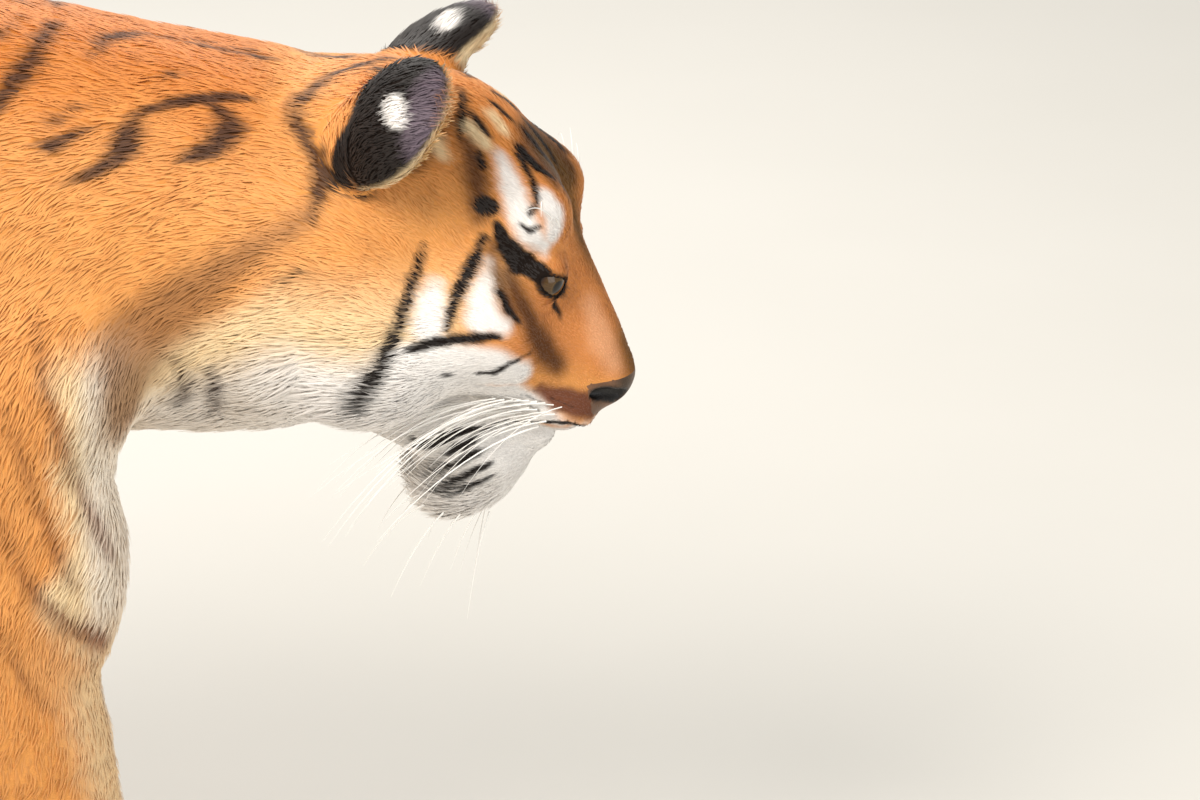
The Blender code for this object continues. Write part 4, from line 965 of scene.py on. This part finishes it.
def lie_of_coat(p, n):
    """Unit vectors in the skin along which the hair lies: back from the nose and along the body, down the legs."""
    x, y, z = p.T
    side = np.where(y < 0, -1.0, 1.0)
    q = mirrored_head(p)
    trunk = vectors(-1, 0, -0.45 * smooth(0.9, 0.55, z) - 0.05)
    shoulder = bump_at(p * (1, 0, 1), (0.38, 0, 0.62), (0.13, 1, 0.20))[:, None]
    haunch = bump_at(p * (1, 0, 1), (-0.50, 0, 0.60), (0.15, 1, 0.20))[:, None]
    trunk = trunk + shoulder * (0.55, 0, -0.9) + haunch * (0.45, 0, -0.8)
    leg = vectors(-0.25 + 0.9 * smooth(0.10, 0.03, z), 0, -1)
    lie = trunk + (leg - trunk) * smooth(0.56, 0.42, z)[:, None]
    behind = smooth(2.0, 9.0, q[:, 1])
    back = vectors(-1, side * (0.25 + 0.2 * behind), 0.25 - 0.9 * behind * smooth(4, -6, q[:, 2]))
    back = back + smooth(-7.0, -12.0, q[:, 2])[:, None] * (-0.2, 0.0, -0.7)
    head = back @ HEAD_TURN.T
    is_head = smooth(0.56, 0.68, x) * smooth(0.44, 0.50, z)
    lie = lie + (head - lie) * is_head[:, None]
    ear = smooth(0.008, 0.002, ears_form(p)) * smooth(1.5, 3.5, ear_local(to_head(p))[:, 2])
    for hand in (-1, 1):
        axis = HEAD_TURN @ (ear_frame(hand)[1][:, 2] * (1, hand, 1))
        lie = np.where((ear > 0.5)[:, None] & (side == hand)[:, None], axis, lie)
    path, along = np.array(TAIL)[:, :3], tail_place(p)
    lengths = np.concatenate([[0], np.cumsum(np.linalg.norm(np.diff(path, axis=0), axis=1))])
    ahead = [np.interp(along + 0.03, lengths, column) - np.interp(along - 0.03, lengths, column) for column in path.T]
    lie = np.where((x < -0.70)[:, None], unit_rows(vectors(*ahead)), lie)
    return unit_rows(lie - (lie * n).sum(1)[:, None] * n)


def coat_sizes(p):
    """Length, width, lift (radians) and spacing of the tufts at these points, in metres."""
    x, _, z = p.T
    q = mirrored_head(p)
    is_head = smooth(0.58, 0.66, x) * smooth(0.46, 0.50, z)
    length = curve_through(z, (0.0, 0.10, 0.35, 0.55, 0.95), (0.007, 0.010, 0.014, 0.020, 0.020))
    lift = np.full(len(p), 0.13)
    ahead = q[:, 0]
    face = curve_through(ahead, (-34, -26, -18, -12, -6, 0), (0.018, 0.014, 0.010, 0.0070, 0.0048, 0.0035))
    length = length + (face - length) * is_head
    lift = lift + (0.12 - lift) * is_head
    ruff = bump_at(q, (-23, 11.5, -10.5), (7.5, 5.5, 6.0)) * is_head
    beard = bump_at(q, (-8.0, 0.0, -17), (5.0, 5.0, 4.0)) * is_head
    throat = bump_at(p, (0.60, 0, 0.57), (0.10, 0.10, 0.05))
    belly = bump_at(p, (-0.05, 0.0, 0.45), (0.40, 0.12, 0.06))
    length = length + 0.034 * ruff + 0.024 * beard + 0.012 * throat + 0.012 * belly
    lift = lift + 0.20 * ruff + 0.32 * beard + 0.10 * throat
    width = 0.0009 + 0.048 * length
    spacing = curve_through(x, (0.20, 0.40, 0.60), (0.0048, 0.0036, 0.0030))
    spacing = spacing + (curve_through(ahead, (-30, -18, -8), (0.0028, 0.0022, 0.0018)) - spacing) * is_head
    hidden = smooth(0.44, 0.38, z)
    return length, width, lift, spacing + 0.0010 * hidden


def bare(p):
    """True where no hair grows: eye gaps, nose leather and soles."""
    return (eye_hollow(mirrored_head(p)) < 0.22) | (nose_leather_amount(p) > 0.5) | (p[:, 2] < 0.004)


def nose_leather_amount(p):
    """1 on the bare leather round the nostrils, 0 on the coat."""
    ahead, out, up = mirrored_head(p).T
    rear, top, low = -2.2 - 0.55 * out, 0.35 + 0.45 * ahead - 0.15 * out, -4.1 + 0.10 * out
    within_edges = np.minimum(np.minimum(ahead - rear, top - up), up - low)
    return smooth(-0.15, 0.15, within_edges) * smooth(4.2, 3.8, out)


def scatter(points, normals, quads, uv, rng):
    """Roots spread over the skin at the coat's spacing: place, normal and place on the unwrap."""
    corner = points[quads]
    area = 0.5 * np.linalg.norm(np.cross(corner[:, 2] - corner[:, 0], corner[:, 3] - corner[:, 1]), axis=1)
    middle = corner.mean(1)
    share = area / coat_sizes(middle)[3] ** 2 * ~bare(middle)
    total = np.cumsum(share)
    count = int(total[-1])
    quad = np.searchsorted(total, (np.arange(count) + rng.random(count)) * total[-1] / count)
    quad = np.minimum(quad, len(quads) - 1)
    u, v = rng.random(count), rng.random(count)
    weights = vectors((1 - u) * (1 - v), u * (1 - v), u * v, (1 - u) * v)[..., None]
    spot = (corner[quad] * weights).sum(1)
    normal = unit_rows((normals[quads[quad]] * weights).sum(1))
    return spot, normal, (uv[quad] * weights).sum(1)


ROOT_DEPTH = 0.0008         # of a tuft's root under the skin
FLOOR_GAP = 0.0005          # least height of a tuft's points


def tuft_mesh(root, normal, lie, length, width, lift):
    """Corner points of each tuft: a folded blade of three points at the root, three half way and one at the tip.

    The blade leaves the skin at its lift and bends down along the lie; its ridge stands a quarter
    of its width above its two edges.
    """
    across = unit_rows(np.cross(lie, normal))
    rise = lie * np.cos(lift)[:, None] + normal * np.sin(lift)[:, None]
    lower = lie * np.cos(0.35 * lift)[:, None] + normal * np.sin(0.35 * lift)[:, None]
    half, ridge = (width * 0.5)[:, None] * across, (width * 0.28)[:, None] * normal
    base = root - ROOT_DEPTH * normal
    middle = root + rise * (length * 0.5)[:, None]
    tip = middle + lower * (length * 0.5)[:, None]
    return np.stack([base - half, base + ridge, base + half,
                     middle - 0.72 * half, middle + 0.9 * ridge, middle + 0.72 * half, tip], 1)


TUFT_FACES = np.array([(0, 1, 3), (1, 4, 3), (1, 2, 4), (2, 5, 4), (3, 4, 6), (4, 5, 6)])
TUFT_PATCH = np.array([(-1, -1), (0, -1), (1, -1), (-1, 0), (0, 0), (1, 0), (0, 1)]) * 0.0015
TUFT_SHADE = np.array([0.90, 0.92, 0.90, 0.98, 1.00, 0.98, 1.03])  # painted shade, with the darker underfur, at the root
TUFT_TIP = np.array([0, 0, 0, 0.5, 0.5, 0.5, 1])                   # how far each corner takes the tip's colour
TUFT_ROUND = np.array([-1, 0, 1, -1, 0, 1, 0]) * 0.22              # how far each corner's normal turns aside


def mesh_from_arrays(name, points, faces, colour, material, uv=None, normals=None):
    """A mesh object from whole arrays: faces have the same number of corners, uv is by corner, the rest by point."""
    def fill(rows, key, values, kind=np.float32):
        rows.foreach_set(key, np.ascontiguousarray(values, kind).ravel())

    mesh = bpy.data.meshes.new(name)
    mesh.vertices.add(len(points))
    fill(mesh.vertices, "co", points + SHIFT)
    mesh.loops.add(faces.size)
    fill(mesh.loops, "vertex_index", faces, np.int32)
    mesh.polygons.add(len(faces))
    fill(mesh.polygons, "loop_start", np.arange(0, faces.size, faces.shape[1]), np.int32)
    fill(mesh.polygons, "use_smooth", np.ones(len(faces)), bool)
    if uv is not None:
        fill(mesh.uv_layers.new(name="OFBake").data, "uv", uv)
    paint = mesh.color_attributes.new("coat", "FLOAT_COLOR", "POINT")
    fill(paint.data, "color", np.concatenate([np.clip(colour, 0, 1), np.ones((len(colour), 1))], 1))
    mesh.update(calc_edges=True)
    mesh.validate()
    if normals is not None:
        mesh.normals_split_custom_set_from_vertices(normals)
    mesh.materials.append(material)
    made = bpy.data.objects.new(name, mesh)
    bpy.context.scene.collection.objects.link(made)
    return made


MOST_TUFTS = 33000          # in one piece, at six triangles each
COAT_ENDS = (("face", 0.775), ("head", 0.690), ("nape", 0.600), ("neck", 0.480), ("shoulders", 0.330),
             ("chest", 0.120), ("loins", -0.180), ("haunches", -0.480), ("tail", -2.0))


def grow_coat(points, normals, quads, uv, material):
    """Every tuft of the coat, in pieces from nose to tail; size, lift and lie vary a little from tuft to tuft."""
    rng = np.random.default_rng(7)
    root, normal, spot = scatter(points, normals, quads, uv, rng)
    length, width, lift, _ = coat_sizes(root)
    lie = lie_of_coat(root, normal)
    across = np.cross(lie, normal)
    stray = 0.16 * rng.normal(size=len(root)) + 0.22 * ripple(root, 0.035, 21)
    lie = unit_rows(lie + across * stray[:, None])
    length = length * rng.uniform(0.72, 1.22, len(root))
    lift = lift * rng.uniform(0.6, 1.35, len(root)) + 0.05 * ripple(root, 0.02, 22)
    width = width * rng.uniform(0.8, 1.2, len(root))
    corners = tuft_mesh(root, normal, lie, length, width, lift)
    corners[..., 2] = np.maximum(corners[..., 2], FLOOR_GAP)
    outer = root + normal * coat_depth(root)[:, None]
    bright = (rng.uniform(0.92, 1.07, len(root)) + 0.04 * ripple(root, 0.03, 23))[:, None]
    lower, upper = (coat_colour(outer + lie * (share * length)[:, None], normal) * bright for share in (0.25, 0.75))
    colour = lower[:, None] + (upper - lower)[:, None] * TUFT_TIP[:, None]
    facing = normal[:, None] + np.cross(lie, normal)[:, None] * TUFT_ROUND[:, None] + 0.15 * lie[:, None]
    order = np.argsort(-root[:, 0])
    start, made = 0, []
    for name, end in COAT_ENDS:
        stop = start + int((root[order[start:], 0] > end).sum())
        parts = max(1, -(-(stop - start) // MOST_TUFTS))
        for number, chosen in enumerate(np.array_split(order[start:stop], parts)):
            label = f"coat_{name}" + (f"_{number + 1}" if parts > 1 else "")
            faces = (TUFT_FACES + 7 * np.arange(len(chosen))[:, None, None]).reshape(-1, 3)
            patches = (spot[chosen][:, None] + TUFT_PATCH)[:, TUFT_FACES.ravel()]
            paint = (colour[chosen] * TUFT_SHADE[:, None]).reshape(-1, 3)
            made.append(mesh_from_arrays(label, corners[chosen].reshape(-1, 3), faces, paint, material, patches,
                                         unit_rows(facing[chosen].reshape(-1, 3))))
        start = stop
    return made


# ---------------------------------------------------------------- materials


def node(tree, kind, links=(), **settings):
    """Adds a node: settings name its properties, links are (socket, value or (node, output))."""
    made = tree.nodes.new(kind)
    for name, value in settings.items():
        setattr(made, name, value)
    for socket, value in links:
        if isinstance(value, tuple) and isinstance(value[0], bpy.types.Node):
            tree.links.new(value[0].outputs[value[1]], made.inputs[socket])
        else:
            made.inputs[socket].default_value = value
    return made


def new_material(name, **sockets):
    """A Principled material with these sockets set; returns it with its tree and shader."""
    material = bpy.data.materials.new(name)
    material.use_nodes = True
    shader = material.node_tree.nodes["Principled BSDF"]
    for socket, value in sockets.items():
        shader.inputs[socket.replace("_", " ")].default_value = value
    return material, material.node_tree, shader


def painted_material(name, pattern=None, **sockets):
    """A material coloured by the piece's own paint; pattern(tree) gives a fine pattern on Object coordinates.

    The pattern is the links of a Map Range node, which dims the paint, and those of a Bump node.
    """
    material, tree, shader = new_material(name, **sockets)
    colour = node(tree, "ShaderNodeAttribute", attribute_name="coat"), "Color"
    if pattern:
        dims, relief = pattern(tree, (node(tree, "ShaderNodeTexCoord"), "Object"))
        dim = node(tree, "ShaderNodeMapRange", dims)
        shade = node(tree, "ShaderNodeVectorMath", ((0, colour), ("Scale", (dim, "Result"))), operation="SCALE")
        colour = shade, "Vector"
        bump = node(tree, "ShaderNodeBump", relief)
        tree.links.new(bump.outputs["Normal"], shader.inputs["Normal"])
    tree.links.new(colour[0].outputs[colour[1]], shader.inputs["Base Color"])
    return material


def hair_material():
    """Tiger guard hair: keratin, dull where it lies close, with a soft sheen along the coat."""
    return painted_material("tiger_guard_hair", Roughness=0.62, IOR=1.55, Specular_IOR_Level=0.28,
                            Sheen_Weight=0.12, Sheen_Roughness=0.45)


def skin_material():
    """Underfur on the hide: matte, with a fine nap about 1.5 mm across."""
    def nap(tree, place):
        noise = node(tree, "ShaderNodeTexNoise", (("Vector", place), ("Scale", 650.0), ("Detail", 3.0))), "Fac"
        return ((("Value", noise), ("To Min", 0.84), ("To Max", 1.0)),
                (("Height", noise), ("Strength", 0.5), ("Distance", 0.0012)))
    return painted_material("tiger_underfur", nap, Roughness=0.80, IOR=1.45, Specular_IOR_Level=0.15)


def leather_material():
    """Nose leather: damp hairless skin, brown with blotches about 11 mm wide and pebbles of about 1.2 mm."""
    def pebbles(tree, place):
        cells = node(tree, "ShaderNodeTexVoronoi", (("Vector", place), ("Scale", 800.0))), "Distance"
        blotch = node(tree, "ShaderNodeTexNoise", (("Vector", place), ("Scale", 90.0), ("Detail", 4.0))), "Fac"
        return ((("Value", blotch), ("From Min", 0.3), ("From Max", 0.7), ("To Min", 0.78), ("To Max", 1.08)),
                (("Height", cells), ("Strength", 0.45), ("Distance", 0.0006)))
    return painted_material("damp_nose_leather", pebbles, Roughness=0.42, IOR=1.40)


def eye_material():
    """The wet eyeball: a dull ball under a clear film of tears."""
    return painted_material("wet_eye", Roughness=0.10, IOR=1.38, Coat_Weight=0.4, Specular_IOR_Level=0.35)


# ---------------------------------------------------------------- eyes, whiskers and claws
IRIS_RADIUS = 1.36          # head frame units, measured along the ball's chord
PUPIL_RADIUS = 0.52
CORNEA_RISE = 0.16
# The eye's colours are painted darker than a tiger's amber eye: painted shade from the lids and brow.
SHADED_AMBER = linear("#503818")
IRIS_RIM = linear("#3A2410")
SHADED_IRIS_CORE = linear("#70582C")
SHADED_EYE_WHITE = linear("#2E221A")
WHISKER_RADIUS = 0.85 * MM  # at the root
CLAW_RADIUS = 2.9 * MM
HORN_ROOT, HORN_TIP = linear("#3A2E26"), linear("#8E7F6C")


def grid_faces(rows, columns):
    """Quads of a grid of points that closes round its columns."""
    row, column = np.meshgrid(np.arange(rows - 1), np.arange(columns), indexing="ij")
    after = (column + 1) % columns
    faces = np.stack([row * columns + column, row * columns + after,
                      (row + 1) * columns + after, (row + 1) * columns + column], -1)
    return faces.reshape(-1, 4)


def make_eye(side, material):
    """An eyeball: a sphere about the gaze whose cornea swells as a cosine bell, iris and pupil painted on."""
    rows, columns = 72, 96
    polar = np.linspace(0.004, np.pi - 0.004, rows)[:, None]
    turn = np.linspace(0, 2 * np.pi, columns, endpoint=False)[None]
    chord, front = EYE_RADIUS * np.sin(polar) + 0 * turn, (polar < np.pi / 2) + 0 * turn
    radius = EYE_RADIUS - 0.02 + CORNEA_RISE * smooth(1.5 * IRIS_RADIUS, 0.0, chord) * front
    local = (radius[..., None] * vectors(np.sin(polar) * np.cos(turn), np.sin(polar) * np.sin(turn),
                                         np.cos(polar))).reshape(-1, 3)
    mirror = np.array([1, side, 1])
    gaze, across = EYE_GAZE * mirror, EYE_ACROSS * mirror
    axes = np.stack([across, np.cross(gaze, across), gaze], axis=1)
    points = from_head(local @ axes.T + EYE_PLACE * mirror)
    r, angle, front = chord.ravel(), (turn + 0 * polar).ravel(), front.ravel()
    streak = 0.5 + 0.25 * np.sin(23 * angle + 2 * np.sin(5 * angle)) + 0.25 * np.sin(41 * angle + 4 * r)
    colour = mix(SHADED_AMBER, SHADED_IRIS_CORE, smooth(0.75, 0.40, r) * (0.4 + 0.6 * streak)) * (0.72 + 0.4 * streak)[:, None]
    colour = mix(colour, IRIS_RIM, smooth(IRIS_RADIUS - 0.22, IRIS_RADIUS, r))
    colour = mix(colour, SHADED_EYE_WHITE, smooth(IRIS_RADIUS, IRIS_RADIUS + 0.08, r))
    pupil = smooth(PUPIL_RADIUS + 0.04, PUPIL_RADIUS - 0.02, r) * front
    colour = mix(colour, BLACK * 0.3, np.maximum(pupil, 1.0 - front))
    word = "right" if side < 0 else "left"
    return mesh_from_arrays(f"eyeball_{word}", points, grid_faces(rows, columns)[:, ::-1], colour, material)


def tapered_tubes(name, paths, radii, colours, sides, material):
    """Tubes through rows of points, thinner to their ends: paths (tube, point, xyz), radii (tube, point)."""
    ahead = unit_rows(np.gradient(paths, axis=1))
    first = unit_rows(np.cross(ahead, (0.12, 0.35, 0.93)))
    second = np.cross(ahead, first)
    turn = (np.arange(sides) * 2 * np.pi / sides)[:, None]
    ring = first[:, :, None] * np.cos(turn) + second[:, :, None] * np.sin(turn)
    points = (paths[:, :, None] + ring * radii[:, :, None, None]).reshape(-1, 3)
    tubes, count = radii.shape
    faces = grid_faces(count, sides)
    faces = (faces[None] + (np.arange(tubes) * count * sides)[:, None, None]).reshape(-1, 4)
    colour = np.repeat(np.broadcast_to(colours, paths.shape).reshape(-1, 3), sides, axis=0)
    return mesh_from_arrays(name, points, faces[:, ::-1], colour, material)


def make_whiskers(material):
    """White whiskers in rows on the lip pads, a few over the eyes and long bristles under the chin.

    Each is a parabola: it leaves its root on the coat along its way and sinks with the square of its length.
    """
    rng = np.random.default_rng(3)
    hairs = []  # root, way (both head frame, y outwards), side and length
    for side in (-1, 1):
        for row in range(4):
            for i in range(9):
                hairs.append(((-4.2 - 0.66 * i - 0.2 * row, 6.0 + 0.20 * i, -3.7 - 0.7 * row - 0.12 * i),
                              (-0.82, 0.34 - 0.015 * i, -0.46 - 0.07 * row), side, rng.uniform(8, 15)))
        for i in range(3):
            hairs.append(((-12.5 - 0.9 * i, 6.0 + 0.3 * i, 8.6 + 0.3 * i), (-0.45, 0.6, 0.55), side, 5.0))
        for i in range(6):
            hairs.append(((-3.4 - 1.1 * i, rng.uniform(0.4, 3.0), -16.5 - 0.3 * i),
                          (0.25 - 0.16 * i, 0.10, -1.0), side, rng.uniform(3.0, 6.5)))
    roots, ways, sides, lengths = (np.array(column) for column in zip(*hairs))
    mirror = vectors(1, sides, 1)
    roots, ways = roots * mirror, unit_rows(ways * mirror + rng.normal(scale=0.10, size=(len(roots), 3)))
    lengths = lengths[:, None, None]
    t = np.linspace(0, 1, 12)[None, :, None]
    droop = np.array([0.33, 0.0, -0.48]) * rng.uniform(0.5, 1.2, (len(roots), 1, 1)) * t ** 2
    paths = roots[:, None] + (ways[:, None] * t + droop) * lengths
    surface, _ = settle(from_head(roots), animal_form, 4)
    paths = from_head(paths) + (surface - from_head(roots))[:, None]
    radii = WHISKER_RADIUS * (1 - 0.88 * t[..., 0]) * rng.uniform(0.6, 1.2, (len(roots), 1))
    return tapered_tubes("whiskers", paths, radii, linear("#F6F3EE"), 6, material)


def make_claws(material):
    """Sheathed claws whose horn tips just show: a hooked cone ahead of each toe."""
    t = np.linspace(0, 1, 7)
    hook = vectors(0.018 * np.sin(1.1 * t), 0, -0.010 * t ** 2)
    paths = []
    for leg, side, _, _ in LEGS:
        size = 0.93 if "hip" in leg else 1.0
        turn = turn_about(2, leg["heading"])
        for spread, ahead in TOES:
            root = np.array([(ahead + 0.028) * size, spread * size, 0.032])
            paths.append((root + hook) @ turn.T + leg["paw"])
    radii = CLAW_RADIUS * np.sqrt(np.maximum(1 - t, 0.004)) * np.ones((len(paths), 1))
    return tapered_tubes("claws", np.array(paths), radii, mix(HORN_TIP, HORN_ROOT, 1 - t), 10, material)


# ---------------------------------------------------------------- the animal


def make_animal():
    """Skin, nose leather, coat, eyes, whiskers and claws, each riding on the one body."""
    points, quads = surface_net(skin_form)
    points, normals = settle(points, skin_form)
    colour = coat_colour(points + normals * coat_depth(points)[:, None], normals)
    skin = mesh_from_arrays("skin", points, quads, colour, skin_material(), np.zeros((quads.size, 2)))
    unwrap(skin)
    uv = np.empty(quads.size * 2, np.float32)
    skin.data.uv_layers["OFBake"].data.foreach_get("uv", uv)
    uv = uv.reshape(len(quads), 4, 2)
    coat = grow_coat(points, normals, quads, uv, hair_material())
    leather = nose_leather_amount(points)[quads].mean(1) > 0.5
    nostril = smooth(0.35, 0.10, within(points, *HEAD_BOX, lambda p: groove(mirrored_head(p), NOSTRIL)))
    tone = mix(NOSE_PALE, NOSE_DARK, 0.5 + 0.5 * ripple(points, 0.03, 31))
    # The nostrils painted near black: painted shade in their openings.
    tone = mix(tone, BLACK * 0.4, nostril)
    used, faces = np.unique(quads[leather], return_inverse=True)
    nose = mesh_from_arrays("nose_leather", points[used], faces.reshape(-1, 4), tone[used], leather_material(),
                            uv[leather])
    drop_faces(skin, leather)
    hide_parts(*[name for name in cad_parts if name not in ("nose", "eye_right", "eye_left")])
    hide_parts("nose")
    eye = eye_material()
    # Claw horn is worn keratin, dark at the root, with a soft shine along its top.
    horn = painted_material("claw_horn", Roughness=0.35, IOR=1.54)
    # Whisker bristle is smooth white keratin, which catches a thin light along its length.
    bristle = painted_material("whisker_bristle", Roughness=0.40, IOR=1.55)
    eyes = [make_eye(-1, eye), make_eye(1, eye)]
    for ball, name in zip(eyes, ("eye_right", "eye_left")):
        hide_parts(name)
    whiskers, claws = make_whiskers(bristle), make_claws(horn)
    for piece in [skin, nose, whiskers, claws] + eyes + coat:
        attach(piece, "root")


def unwrap(piece):
    """Lays the piece's own surface out flat in its OFBake map."""
    bpy.context.view_layer.objects.active = piece
    piece.select_set(True)
    bpy.ops.object.mode_set(mode="EDIT")
    bpy.ops.mesh.select_all(action="SELECT")
    bpy.ops.uv.smart_project(angle_limit=1.15, island_margin=0.002, scale_to_bounds=True)
    bpy.ops.object.mode_set(mode="OBJECT")
    piece.select_set(False)


def drop_faces(piece, chosen):
    """Deletes the chosen faces, which another piece carries."""
    shape = bmesh.new()
    shape.from_mesh(piece.data)
    shape.faces.ensure_lookup_table()
    bmesh.ops.delete(shape, geom=[shape.faces[i] for i in np.flatnonzero(chosen)], context="FACES")
    shape.to_mesh(piece.data)
    shape.free()


EYES_MIDDLE = np.mean([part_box(name) for name in ("eye_right", "eye_left")], axis=(0, 1))
SHIFT = EYES_MIDDLE - from_head(EYE_PLACE * (1, 0, 1))       # from the forms' frame to the CAD's
make_animal()

# ---------------------------------------------------------------- floor, light and camera
AIM = np.array([0.859, -0.050, 0.605])       # the middle of the view, on the cheek behind the nose
CAMERA_HEIGHT = np.radians(22.0)             # how far the camera looks down
CAMERA_DISTANCE = 4.5
VIEW_WIDTH = 0.924                           # metres across the frame at the head
SENSOR = 36.0


def aimed(obj, place, at):
    """Puts the object at place, its -Z axis towards at."""
    obj.location = place
    obj.rotation_euler = (Vector(at) - Vector(place)).to_track_quat("-Z", "Y").to_euler()
    bpy.context.scene.collection.objects.link(obj)


def add_light(name, place, at, size, watts, colour):
    """A soft square light."""
    lamp = bpy.data.lights.new(name, "AREA")
    lamp.size, lamp.energy, lamp.color = size, watts, colour
    aimed(bpy.data.objects.new(name, lamp), place, at)


def make_floor():
    """A wide floor of matte paint, pale, with mottling about 0.7 m across that hardly shows."""
    material, tree, shader = new_material("studio_floor_paint", Roughness=0.85)
    place = node(tree, "ShaderNodeTexCoord")
    mottle = node(tree, "ShaderNodeTexNoise", (("Vector", (place, "Object")), ("Scale", 1.5), ("Detail", 3.0)))
    shade = node(tree, "ShaderNodeMix", (("Factor", (mottle, "Fac")), ("A", (*linear("#D2CFC8"), 1)),
                                         ("B", (*linear("#DAD7D1"), 1))), data_type="RGBA")
    tree.links.new(shade.outputs["Result"], shader.inputs["Base Color"])
    mesh = bpy.data.meshes.new("floor")
    mesh.from_pydata([(-9, -9, 0), (9, -9, 0), (9, 9, 0), (-9, 9, 0)], [], [(0, 1, 2, 3)])
    floor = bpy.data.objects.new("floor", mesh)
    bpy.context.scene.collection.objects.link(floor)
    mesh.materials.append(material)


make_floor()
world = bpy.data.worlds.new("studio")
world.use_nodes = True
world.node_tree.nodes["Background"].inputs["Color"].default_value = (*linear("#E6E6E4"), 1)
world.node_tree.nodes["Background"].inputs["Strength"].default_value = 0.72
bpy.context.scene.world = world
bpy.context.scene.view_settings.view_transform = "Standard"
target = AIM + SHIFT
add_light("key", target + (-1.6, -2.2, 2.6), target, 1.4, 128.0, (1.0, 0.95, 0.88))
add_light("fill", target + (2.6, -2.4, 0.6), target, 2.2, 35.0, (0.92, 0.96, 1.0))
add_light("rim", target + (-1.0, 2.6, 2.4), target, 1.8, 90.0, (1.0, 0.97, 0.92))
camera = bpy.data.cameras.new("camera")
camera.sensor_width = SENSOR
camera.lens = SENSOR * CAMERA_DISTANCE / VIEW_WIDTH
camera_object = bpy.data.objects.new("camera", camera)
back = np.array([0.0, -np.cos(CAMERA_HEIGHT), np.sin(CAMERA_HEIGHT)])
aimed(camera_object, target + back * CAMERA_DISTANCE, target)
bpy.context.scene.camera = camera_object
